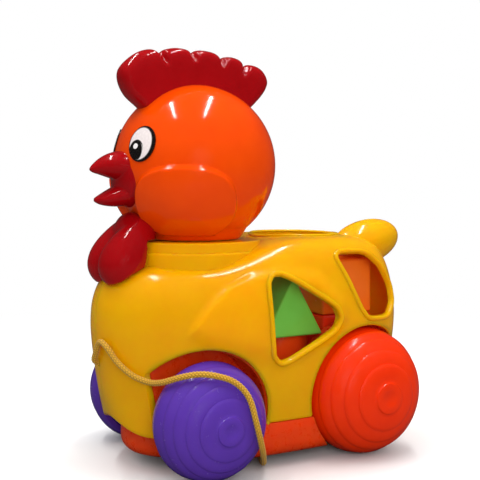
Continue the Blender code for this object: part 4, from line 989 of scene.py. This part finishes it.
# Each printed ellipse as (colour, centre, half sizes), as shares of the film's own half sizes.
EYE_BLACK = "120E0D"
EYE_SHAPES = [("F0E4E2", (-0.09, 0.01), (0.84, 0.88)), (EYE_BLACK, (-0.36, -0.33), (0.56, 0.54)),
              ("DDD6D4", (-0.10, -0.42), (0.30, 0.43)), (EYE_BLACK, (-0.19, -0.40), (0.34, 0.47)),
              ("F7F2F0", (-0.40, -0.14), (0.19, 0.15))]
EYE_EDGE = 0.035
FILM_GRAIN_MM, FILM_THICKNESS = 1 / 0.9, 0.35 * MM


def eye_print():
    made, tree, shader = new_material("printed_vinyl_film")
    place = node(tree, "UVMap", uv_map="UVMap").outputs["UV"]
    ink = EYE_BLACK
    for code, (across, up), (wide, high) in EYE_SHAPES:
        centre = (0.5 + across / 2, 0.5 + up / 2, 0)
        moved = node(tree, "VectorMath", {0: place, 1: centre}, operation="SUBTRACT").outputs["Vector"]
        scaled = node(tree, "VectorMath", {0: moved, 1: (2 / wide, 2 / high, 0)}, operation="MULTIPLY")
        reach = node(tree, "VectorMath", {0: scaled.outputs["Vector"]}, operation="LENGTH").outputs["Value"]
        ink = tinted(tree, ramp(tree, reach, 1 + EYE_EDGE, 1 - EYE_EDGE), ink, code)
    grain = noise(tree, node(tree, "TexCoord").outputs["Object"], FILM_GRAIN_MM, 2.0)
    feed(tree, shader, {"Base Color": ink, "Roughness": ramp(tree, grain, 0, 1, 0.2, 0.34)})
    return made


def eye(name, side, shares=18, facets=72):
    """A thin dome of film: rings out over its face, and in again on the side that is stuck down."""
    facing = direction(side * EYE_AZIMUTH, EYE_ELEVATION)
    across = side * Vector((0, 0, 1)).cross(facing).normalized()
    up = (Vector((0, 0, 1)) - facing * facing.z).normalized()
    rings, uvs = [], []
    for radius, order in ((HEAD_RADIUS + GAP + FILM_THICKNESS, range(shares + 1)),
                          (HEAD_RADIUS + 0.05 * MM, range(shares, -1, -1))):
        for k in order:
            ring, share = [], k / shares
            for t in full_turn(facets if k else 1):
                u, v = math.cos(t) * share, math.sin(t) * share
                spot = facing * HEAD_RADIUS + across * u * EYE_HALF_WIDTH + up * v * EYE_HALF_HEIGHT
                ring.append(HEAD_CENTRE + spot.normalized() * radius)
                uvs.append((0.5 + u / 2, 0.5 + v / 2))
            rings.append(ring)
    return loft(name, rings, edge_angle=50, uvs=uvs)


eye_film = eye_print()
for side, side_name in SIDES:
    finish_piece(eye(f"eye_film_{side_name}", side), "head", eye_film, "eye_print", f"eye_{side_name}")

# %% [markdown]
# ## Wheels and axles
# Each wheel is a hollow dome whose steps lie on each other like shingles, with a flat hub disc, and a cap
# closes its inner side. A lathe profile is spun round the axle. The two rear wheels are larger and scarlet,
# the two front wheels purple.

# %% Wheels
RING_ANGLES = [0, 16, 31, 46, 61, 76]
RING_STEP, RING_LIP = 0.75 * MM, 0.3 * MM
RIM_LAND, WHEEL_WALL, WHEEL_LIP, WHEEL_EDGE = 5.5 * MM, 2.2 * MM, 2.4 * MM, 1.2 * MM
FRONT_INNER_X, REAR_INNER_X, OUTER_X = 38 * MM, 35.5 * MM, 69.1 * MM
DOME_FULLNESS = 0.89
# The hub disc's face as (mm sunk, share of the hub's radius).
HUB_FACE = [(0.9, 0.0), (0.5, 0.3), (0.1, 0.42), (0.0, 0.5), (0.0, 0.72), (0.25, 0.82), (0.9, 0.86)]
HUB_RADIUS, HUB_END, CAP_THICKNESS = 4.6 * MM, 10 * MM, 1.8 * MM
WHEEL_FACETS = 144


def dome_point(rim_x, depth, radius, degrees):
    a = math.radians(degrees)
    return rim_x + depth * math.sin(a) ** DOME_FULLNESS, radius * math.cos(a) ** DOME_FULLNESS


def wheel_profile(radius, inner_x):
    rim_x = inner_x + RIM_LAND
    depth = OUTER_X - rim_x
    hub = dome_point(rim_x, depth, radius, RING_ANGLES[-1])[1]
    points = [(OUTER_X - sunk * MM, hub * share) for sunk, share in HUB_FACE]
    for low, high in reversed(list(zip(RING_ANGLES, RING_ANGLES[1:]))):
        for k in range(10, -1, -1):
            t = k / 10
            drop = RING_STEP * t * t + (RING_LIP * max(1 - t / 0.2, 0) ** 2 if low else 0)
            points.append(dome_point(rim_x, depth - drop, radius - drop, low + (high - low) * t))
    points += [(inner_x + WHEEL_EDGE - WHEEL_EDGE * math.sin(a),
                radius - WHEEL_LIP + WHEEL_EDGE * 0.9 * math.cos(a)) for a in quarter_turn(5)[1:]]
    mouth = radius - WHEEL_WALL - WHEEL_LIP
    points += [(inner_x, mouth), (inner_x + 3.5 * MM, mouth)]
    points += [dome_point(rim_x, depth - WHEEL_WALL, radius - WHEEL_WALL, a) for a in range(0, 71, 10)]
    inside, hub_start, bore = points[-1][0], inner_x + CAP_THICKNESS + 2 * GAP, AXLE_RADIUS + GAP
    points += [(inside, HUB_RADIUS), (hub_start, HUB_RADIUS), (hub_start, bore)]
    return points + [(OUTER_X - HUB_END, bore), (OUTER_X - HUB_END, 0.0)]


def cap_profile(radius, inner_x):
    start, bore, mouth = inner_x + GAP, AXLE_RADIUS + GAP, radius - WHEEL_WALL - WHEEL_LIP - GAP
    groove, end = start + 0.7 * MM, start + CAP_THICKNESS
    return [(start, bore), (start, bore + 3 * MM), (groove, bore + 4 * MM), (groove, mouth - 3 * MM),
            (start, mouth - 2 * MM), (start, mouth - 0.4 * MM), (start + 0.3 * MM, mouth), (end, mouth),
            (end, bore)]


def axle_set(name, axle_y, radius, inner_x, finish, slot):
    """An axle with a wheel and its cap on each end. The right ones are the left ones, turned half round."""
    centre, body = Vector((0, axle_y, radius)), f"{name}_axle_set"
    dome, cap = wheel_profile(radius, inner_x), cap_profile(radius, inner_x)
    for side_name, half_turn in (("left", 0), ("right", math.pi)):
        turn = Matrix.Translation(centre) @ Matrix.Rotation(half_turn, 4, "Z")
        wheel = turned(f"{name}_wheel_{side_name}_dome", dome, WHEEL_FACETS, "X", edge_angle=28)
        disc = turned(f"{name}_wheel_{side_name}_cap", cap, WHEEL_FACETS, "X", close=True)
        for piece, replaced in ((wheel, "wheel"), (disc, "wheel_cap")):
            piece.data.transform(turn)
            finish_piece(piece, body, finish, slot, f"{name}_{replaced}_{side_name}")
    end, edge = OUTER_X - HUB_END - GAP, 0.4 * MM
    pin = [(-end, 0), (-end, AXLE_RADIUS - edge), (-end + edge, AXLE_RADIUS), (end - edge, AXLE_RADIUS),
           (end, AXLE_RADIUS - edge), (end, 0)]
    finish_piece(turned(f"{name}_axle_pin", pin, 48, "X", centre), body, axle_steel, "steel", f"{name}_axle")


# %% [markdown]
# ## Steel, and the two axles
# The axles and screws are plain carbon-steel wire and screws with a thin zinc plating: grey, a little blue,
# with drawing lines along the wire that blur the reflections.

# %% Steel
DRAWING_LINE_MM = 0.4


def zinc_plated_steel():
    made, tree, shader = new_material("zinc_plated_steel")
    place = node(tree, "TexCoord").outputs["Object"]
    lines = node(tree, "Mapping", {"Vector": place, "Scale": (0.05, 1.0, 1.0)}).outputs["Vector"]
    streak = noise(tree, lines, DRAWING_LINE_MM, 4.0)
    feed(tree, shader, {"Base Color": tinted(tree, streak, "8C9094", "B4B8BB"), "Metallic": 1.0,
                        "Roughness": ramp(tree, streak, 0, 1, 0.25, 0.45)})
    return made


axle_steel = zinc_plated_steel()
axle_set("front", FRONT_AXLE_Y, FRONT_RADIUS, FRONT_INNER_X, purple_plastic, "purple")
axle_set("rear", REAR_AXLE_Y, REAR_RADIUS, REAR_INNER_X, scarlet_plastic, "scarlet")

# %% [markdown]
# ## Screws
# Four pan-head screws with a cross slot hold the tray to the body. Only their heads show, under the deck.

# %% Screws
THREAD_PITCH, THREADS, SCREW_LENGTH = 1.0 * MM, 8, 10 * MM


def screw(name, x, y):
    top, high, wide = DECK_TOP_Z - WALL - GAP, 2.0 * MM, 2.8 * MM
    slot_floor = top - high * 0.45
    profile = [(top - high, 0.0)]
    profile += [(slot_floor - high * 0.55 * math.cos(a), wide * math.sin(a)) for a in quarter_turn(8)[1:]]
    profile += [(top, wide), (top, SCREW_RADIUS * 0.8)]
    for i in range(THREADS):
        z = top + 0.6 * MM + i * THREAD_PITCH
        profile += [(z, SCREW_RADIUS * 0.72), (z + THREAD_PITCH * 0.5, SCREW_RADIUS),
                    (z + THREAD_PITCH * 0.62, SCREW_RADIUS)]
    profile += [(top + SCREW_LENGTH - 1 * MM, SCREW_RADIUS * 0.7), (top + SCREW_LENGTH, 0.0)]
    made = turned(name, profile, 32, "Z", (x, y, 0))
    slots = [box("slot", (x - a, y - b, top - high - 1 * MM), (x + a, y + b, slot_floor))
             for a, b in ((0.35 * MM, 1.6 * MM), (1.6 * MM, 0.35 * MM))]
    return combine(made, "DIFFERENCE", combine(slots[0], "UNION", slots[1]))


for number, (x, y) in enumerate(SCREW_PLACES, 1):
    made = screw(f"pan_head_screw_{number}", x, y)
    finish_piece(made, "toy_body", axle_steel, "steel", f"base_screw_{number}")

# %% [markdown]
# ## Sorting blocks
# The blocks are solid-looking polystyrene mouldings with rounded edges. They lie loose in the body and show
# through its windows. A bevel with four segments rounds the sharp CAD forms.

# %% Sorting blocks
BLOCK_SIDE, BLOCK_DEPTH, BLOCK_ROUND = 34 * MM, 31 * MM, 1.6 * MM
FRONT_STACK_Y, REAR_STACK_Y, STACK_X = 6.5 * MM, 43 * MM, 13 * MM
PRISM_X, PRISM_Y = 22 * MM, 2.5 * MM
DISC_HEIGHT, PRISM_SIDE = 22 * MM, 38 * MM


def rounded(item):
    bevel = item.modifiers.new("Round", "BEVEL")
    bevel.width = BLOCK_ROUND
    bevel.segments = 4
    bevel.limit_method = "ANGLE"
    apply_modifiers(item)
    return smooth(item, 40)


def block_on(y, low, height):
    half = BLOCK_SIDE / 2
    return rounded(box("block", (STACK_X - half, y - half, low), (STACK_X + half, y + half, low + height)))


def blocks():
    """Each block as (its object, name, body, colour, CAD node)."""
    floor, half = DECK_TOP_Z + GAP, BLOCK_SIDE / 2
    low = floor + DISC_HEIGHT + GAP
    rise = PRISM_SIDE * math.sqrt(3) / 2
    triangle = [(PRISM_Y - PRISM_SIDE / 2, low), (PRISM_Y + PRISM_SIDE / 2, low), (PRISM_Y, low + rise)]
    prism = loft("prism", [[(PRISM_X + s * BLOCK_DEPTH / 2, y, z) for y, z in triangle] for s in (-1, 1)])
    disc = rod("disc", "Z", floor, floor + DISC_HEIGHT, half, (STACK_X, FRONT_STACK_Y, 0), 96)
    lower, upper = (block_on(REAR_STACK_Y, z, BLOCK_DEPTH) for z in (floor, floor + BLOCK_DEPTH + GAP))
    yield rounded(disc), "disc_block", "scarlet_disc", "scarlet", "block_disc_scarlet"
    yield rounded(prism), "prism_block", "green_prism", "green", "block_triangle_green"
    yield lower, "lower_square_block", "red_square", "red", "block_square_red"
    yield upper, "upper_square_block", "orange_square", "orange", "block_square_orange"


for block, name, body, colour, replaced in blocks():
    block.name = name
    finish_piece(block, body, block_plastics[colour], f"block_{colour}", replaced)

# %% [markdown]
# ## The pull cord
# The cord is a soft polyester braid, 3.2 mm thick and 0.56 m long. It comes out of a hole in the chest, dips
# over the front wheel and passes under the toy to a small tied coil behind it. A real braid has columns of
# stitches that lean left and right by turns. They are too fine for a texture alone, so the tube's own
# surface carries them. Each point's height is kept as an attribute, and the material uses it to paint shade
# into the gaps between them.

# %% Cord route
CORD_RADIUS = 1.6 * MM
CORD_ROUTE = [(0, -90.5, 56), (0, -96, 56), (1.2, -98.8, 57.6), (5, -99.3, 62.5), (10, -99, 68.3),
              (15.5, -97.5, 66.5), (20, -94.3, 60.3), (23.5, -91.5, 56.6), (27.2, -88, 53.2),
              (30.5, -84.4, 51.2), (34.5, -81.3, 50.3), (39.5, -79.7, 50.9), (45.3, -77.8, 52.5),
              (52.7, -72.4, 55.6), (58, -65.6, 57.2), (61.8, -58.8, 56.5), (64.8, -51.3, 53.9),
              (67.2, -46.1, 49.4), (69.2, -43, 43.3), (70.6, -41, 34.4), (69.6, -38.1, 25.3),
              (64.8, -33.7, 16.8), (54, -26.8, 8.6), (43.5, -21, 3.4), (34, -16.5, 1.95),
              (18, -10, 1.8), (-4, -6, 1.8), (-28, -5.5, 1.8), (-50, -7.5, 2), (-66, -12.5, 2.5),
              (-80, -20.5, 2.8)]
COIL_CENTRE = Vector((-94, -2.5, 2.8)) * MM
COIL_OUTER, COIL_TURNS, COIL_PITCH, COIL_DROP = 22.2 * MM, 2.3, 3.9 * MM, 5.5 * MM
RING_STEP_MM = 0.3


def coil_points(start, per_turn=96):
    first = math.atan2(start.y - COIL_CENTRE.y, start.x - COIL_CENTRE.x)
    points = []
    for i in range(round(COIL_TURNS * per_turn) + 1):
        turns = i / per_turn
        drawn = COIL_DROP * smooth_step((turns - COIL_TURNS + 0.35) / 0.35)
        radius, angle = COIL_OUTER - COIL_PITCH * turns - drawn, first - 2 * math.pi * turns
        points.append(COIL_CENTRE + Vector((radius * math.cos(angle), radius * math.sin(angle), 0)))
    return points


def even_steps(points, step):
    places = np.array([tuple(p) for p in points])
    lengths = np.concatenate([[0], np.cumsum(np.linalg.norm(np.diff(places, axis=0), axis=1))])
    wanted = np.linspace(0, lengths[-1], round(lengths[-1] / step) + 1)
    return np.stack([np.interp(wanted, lengths, places[:, k]) for k in range(3)], axis=1), lengths[-1]


coil = coil_points(Vector(CORD_ROUTE[-1]) * MM)
lead = [p * MM for p in catmull(CORD_ROUTE[:-1] + [tuple(coil[0] / MM)], 24)]
cord_path, cord_length = even_steps(lead + coil[1:], RING_STEP_MM * MM)
print(f"cord {cord_length / MM:.1f} mm, {len(cord_path)} rings")

# %% [markdown]
# The frames along the tube are carried on from ring to ring without twist, or the braid would spiral.

# %% Braided tube
COLUMN_PAIRS, COLUMN_CROWN = 4, 0.65
STITCH_MM = 1.7
STITCH_DEPTH = 0.3 * MM
FIBRE_MM = 0.35


def braided_tube(name, path, radius, facets=32, closed=False):
    """Tube round a path whose surface carries the braid's stitches."""
    count = len(path)
    ahead = np.roll(path, -1, axis=0) if closed else np.vstack([path[1:], 2 * path[-1:] - path[-2:-1]])
    behind = np.roll(path, 1, axis=0) if closed else np.vstack([2 * path[:1] - path[1:2], path[:-1]])
    tangents = ahead - behind
    tangents /= np.linalg.norm(tangents, axis=1)[:, None]
    side = np.cross(tangents[0], [0.0, 0.0, 1.0])
    if np.linalg.norm(side) < 0.1:
        side = np.cross(tangents[0], [1.0, 0.0, 0.0])
    sides = []
    for tangent in tangents:
        side = side - tangent * side.dot(tangent)
        side /= np.linalg.norm(side)
        sides.append(side)
    sides = np.array(sides)
    ups = np.cross(tangents, sides)
    turns = np.linspace(0, 2 * np.pi, facets, endpoint=False)
    along = np.arange(count) * RING_STEP_MM
    lean = 2 * np.pi * along[:, None] / STITCH_MM
    left = 0.5 + 0.5 * np.cos(COLUMN_PAIRS * turns[None, :] + lean)
    right = 0.5 + 0.5 * np.cos(COLUMN_PAIRS * turns[None, :] - lean)
    share = np.clip(0.5 + 1.6 * np.cos(COLUMN_PAIRS * turns), 0, 1)[None, :]
    height = left * share + right * (1 - share)
    column = np.abs(np.cos(COLUMN_PAIRS * turns))[None, :] ** 0.5
    height = np.sqrt(np.clip(height, 0, 1)) * (1 - COLUMN_CROWN + COLUMN_CROWN * column)
    reach = radius - STITCH_DEPTH * (1 - height)
    ring = np.cos(turns)[None, :, None] * sides[:, None, :] + np.sin(turns)[None, :, None] * ups[:, None, :]
    points = (path[:, None, :] + ring * reach[:, :, None]).reshape(-1, 3)
    index = np.arange(count * facets).reshape(count, facets)
    following = np.roll(index, -1, axis=0) if closed else index[1:]
    first = index if closed else index[:-1]
    quads = np.stack([first, np.roll(first, -1, axis=1), np.roll(following, -1, axis=1), following], axis=-1)
    faces = quads.reshape(-1, 4).tolist()
    if not closed:
        faces += [index[0][::-1].tolist(), index[-1].tolist()]
    made = face_outwards(mesh_object(name, points, faces))
    # The height also drives the painted shade in the gaps between stitches, in the cord's material.
    attribute = made.data.color_attributes.new("stitch_height", "FLOAT_COLOR", "POINT")
    shades = np.repeat(height.reshape(-1, 1), 4, axis=1).ravel()
    attribute.data.foreach_set("color", shades.astype(np.float32))
    made.data.shade_smooth()
    return made


def braided_cord_material():
    made, tree, shader = new_material("braided_polyester_cord")
    stitch_height = node(tree, "Attribute", attribute_name="stitch_height").outputs["Fac"]
    fibre = noise(tree, node(tree, "TexCoord").outputs["Object"], FIBRE_MM, 3.0)
    # Painted shade: the colour is darker where the stitch height is low, in the gaps between stitches.
    painted_gap_shade = tinted(tree, ramp(tree, stitch_height, 0.1, 0.8), "96650A", "DDAA2C")
    shade = ramp(tree, fibre, 0.3, 0.7, 0.75, 1.1)
    mix = node(tree, "Mix", {"Factor": 0.35, "A": painted_gap_shade, "B": shade}, data_type="RGBA", blend_type="MULTIPLY")
    fuzz = node(tree, "Bump", {"Height": fibre, "Strength": 0.35, "Distance": 0.15 * MM})
    feed(tree, shader, {"Base Color": mix.outputs["Result"], "Normal": fuzz.outputs["Normal"],
                        "Roughness": 0.75, "Sheen Weight": 0.1})
    return made


cord_braid = braided_cord_material()
pull_cord = braided_tube("pull_cord", cord_path, CORD_RADIUS)
finish_piece(pull_cord, "toy_body", cord_braid, "cord", "cord_lead", "cord_coil")

# %% [markdown]
# Both ends are tied in a plain overhand knot: one keeps the cord in the chest, the other ends the coil. The
# trefoil is the centreline of such a knot drawn tight.

# %% Knots
KNOT_STEPS = 240
KNOT_TIGHTNESS = 0.86


def knot(node_name, size, flat):
    low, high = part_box(node_name)
    centre = (low + high) / 2
    loop = []
    for t in full_turn(KNOT_STEPS):
        loop.append(centre + Vector((math.sin(t) + 2 * math.sin(2 * t), math.cos(t) - 2 * math.cos(2 * t),
                                     -math.sin(3 * t) * flat)) * size)
    path, _ = even_steps(loop + loop[:1], RING_STEP_MM * MM)
    name = node_name.removeprefix("cord_")
    made = braided_tube(name, path[:-1], CORD_RADIUS * KNOT_TIGHTNESS, closed=True)
    finish_piece(made, "toy_body", cord_braid, "cord", node_name)
    return made


end_knot = knot("cord_end_knot", 0.85 * MM, 1.6)
stop_knot = knot("cord_stop_knot", 0.95 * MM, 1.7)

# %% [markdown]
# The coil is held by a flat white band of polyethylene, wrapped once round its turns.

# %% Tie
TIE_WIDTH, TIE_THICKNESS, TIE_TURN = 3 * MM, 0.8 * MM, 1.62


def band_tie():
    spot = coil_points(Vector(CORD_ROUTE[-1]) * MM, 24)
    radial = (spot[round(TIE_TURN * 24)] - COIL_CENTRE).normalized()
    reaches = [(p - COIL_CENTRE).length for p in spot if (p - COIL_CENTRE).normalized().dot(radial) > 0.985]
    low, high = min(reaches) - CORD_RADIUS - GAP, max(reaches) + CORD_RADIUS + GAP
    middle, half, rise = (low + high) / 2, (high - low) / 2, CORD_RADIUS + GAP
    section = [(-1, 0), (-0.9, 0.25), (-0.9, 0.75), (-1, 1), (1, 1), (0.9, 0.75), (0.9, 0.25), (1, 0)]
    rings = []
    for across, out in section:
        ring = []
        for t in full_turn(72, 0.5):
            c, s = (math.copysign(abs(part) ** 0.35, part) for part in (math.cos(t), math.sin(t)))
            ring.append(Vector((middle + (half + out * TIE_THICKNESS) * c, across * TIE_WIDTH / 2,
                                (rise + out * TIE_THICKNESS) * s)))
        rings.append(ring)
    made = loft("band_tie", rings, close=True, edge_angle=50)
    turn = Matrix.Rotation(math.atan2(radial.y, radial.x), 4, "Z")
    made.data.transform(Matrix.Translation(COIL_CENTRE) @ turn)
    return made


tie_plastic = moulded_plastic("white_polyethylene_band", "F4F4F0", "EAEAE4", 0.35)
tie_band = band_tie()
finish_piece(tie_band, "toy_body", tie_plastic, "tie", "cord_tie")
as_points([tuple(p) for p in cord_path[::8]] + [tuple(cord_path[-1])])

# %% [markdown]
# ## Floor and light
# The toy stands on a plain white floor in a light tent. Two long soft boxes hang over it and run along the
# camera's line of sight: their reflections are the two short strips on the crown of the head. A broad lamp
# beside the camera lights the front and leaves no mirror image. The tent fills the shadows, and a camera ray
# that misses the toy sees plain white. The photographed plastic mirrors its lamps and hardly anything else,
# so mirror rays see a dim tent and a darker floor. The floor also throws less light up than its white would.

# %% Studio
FLOOR_RADIUS, FLOOR_DEPTH, FLOOR_GAP = 3.0, 2 * MM, 0.05 * MM
FADE_START, FADE_END = 0.16, 0.55
PAPER_FIBRE_MM = 1 / 0.9
LAMP_POWER = 3.4
STRIP_WIDTH, STRIP_LENGTH, STRIP_HEIGHT, STRIP_AHEAD = 0.035, 0.80, 0.95, 0.06
FRONT_LAMP_SIZE, FRONT_LAMP_SIDE, FRONT_LAMP_HEIGHT, FRONT_LAMP_DISTANCE = 0.5, 0.15, 0.30, 0.9
FRONT_LAMP_AIM = Vector((0, 0, 0.1))


def floor_paper():
    made, tree, shader = new_material("white_paper_floor")
    seen = node(tree, "LightPath").outputs
    bounce = tinted(tree, seen["Is Glossy Ray"], "8C8C8C", "404040")
    place = node(tree, "TexCoord").outputs["Object"]
    fibre = noise(tree, place, PAPER_FIBRE_MM, 4.0)
    bump = node(tree, "Bump", {"Height": fibre, "Strength": 0.05, "Distance": 0.1 * MM})
    feed(tree, shader, {"Base Color": tinted(tree, seen["Is Camera Ray"], bounce, "F2F1F0"),
                        "Roughness": 0.9, "Normal": bump.outputs["Normal"]})
    away = node(tree, "VectorMath", {0: place}, operation="LENGTH").outputs["Value"]
    fade = ramp(tree, away, FADE_START, FADE_END, interpolation_type="SMOOTHSTEP")
    factor = node(tree, "Math", {0: fade, 1: seen["Is Camera Ray"]}, operation="MULTIPLY").outputs["Value"]
    white = node(tree, "Emission", {"Color": (1, 1, 1, 1), "Strength": 1.0}).outputs["Emission"]
    faded = node(tree, "MixShader", {0: factor, 1: shader.outputs["BSDF"], 2: white}).outputs["Shader"]
    feed(tree, next(n for n in tree.nodes if n.type == "OUTPUT_MATERIAL"), {"Surface": faded})
    return made


def floor():
    made = turned("floor", [(-FLOOR_DEPTH, 0), (-FLOOR_DEPTH, FLOOR_RADIUS), (-FLOOR_GAP, FLOOR_RADIUS),
                            (-FLOOR_GAP, 0)], 96)
    made.data.materials.append(floor_paper())
    made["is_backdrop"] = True


def area_lamp(name, shape, size):
    lamp = bpy.data.lights.new(name, "AREA")
    lamp.shape, lamp.size, lamp.energy = shape, size, LAMP_POWER
    return placed(name, lamp)


def front_lamp():
    """A broad lamp that looks at the toy from the camera's side. Glossy rays don't see it."""
    item = area_lamp("front_box", "DISK", FRONT_LAMP_SIZE)
    sideways = CAMERA_RIGHT * FRONT_LAMP_SIDE
    item.location = TOWARDS_CAMERA * FRONT_LAMP_DISTANCE + sideways + Vector((0, 0, FRONT_LAMP_HEIGHT))
    item.rotation_mode = "QUATERNION"
    item.rotation_quaternion = (item.location - FRONT_LAMP_AIM).to_track_quat("Z", "Y")
    item.visible_glossy = False


def strip_box(name, sideways):
    """A strip that hangs over the toy and runs along the camera's line of sight."""
    away = -TOWARDS_CAMERA
    centre = HEAD_CENTRE + CAMERA_RIGHT * sideways + Vector((0, 0, STRIP_HEIGHT)) + away * STRIP_AHEAD
    item = area_lamp(name, "RECTANGLE", STRIP_WIDTH)
    item.data.size_y = STRIP_LENGTH
    down = (centre - HEAD_CENTRE).normalized()
    across = away.cross(down).normalized()
    along = down.cross(across)
    item.matrix_world = Matrix.Translation(centre) @ Matrix((across, along, down)).transposed().to_4x4()


def world_light(low, high, mirrored):
    """The tent's light, brighter overhead. The camera sees it white, glossy surfaces mirror it darker."""
    world = bpy.data.worlds.new("light_tent")
    bpy.context.scene.world = world
    world.use_nodes = True
    tree = world.node_tree
    tree.nodes.clear()
    seen = node(tree, "LightPath").outputs
    sees = node(tree, "Math", {0: seen["Is Camera Ray"], 1: seen["Is Transmission Ray"]},
                operation="MAXIMUM")
    towards = node(tree, "SeparateXYZ", {"Vector": node(tree, "TexCoord").outputs["Generated"]})
    tent = ramp(tree, towards.outputs["Z"], 0, 1, low, high)
    level = node(tree, "Mix", {"Factor": sees.outputs["Value"], "A": tent, "B": 1.0})
    gloss = node(tree, "Mix", {"Factor": seen["Is Glossy Ray"], "A": level.outputs["Result"], "B": mirrored})
    light = node(tree, "Background", {"Color": (1, 1, 1, 1), "Strength": gloss.outputs["Result"]})
    node(tree, "OutputWorld", {"Surface": light.outputs["Background"]})


floor()
strip_box("left_strip", -0.37)
strip_box("right_strip", 0.21)
front_lamp()
world_light(0.15, 1.6, mirrored=0.05)
bpy.context.scene.view_settings.view_transform = "Standard"
print(f"{len(bpy.data.lights)} lamps")

# %% Finish
seen_box = [list(corner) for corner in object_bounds()]
print(f"visual box {[round(c / MM, 1) for corner in seen_box for c in corner]} mm")
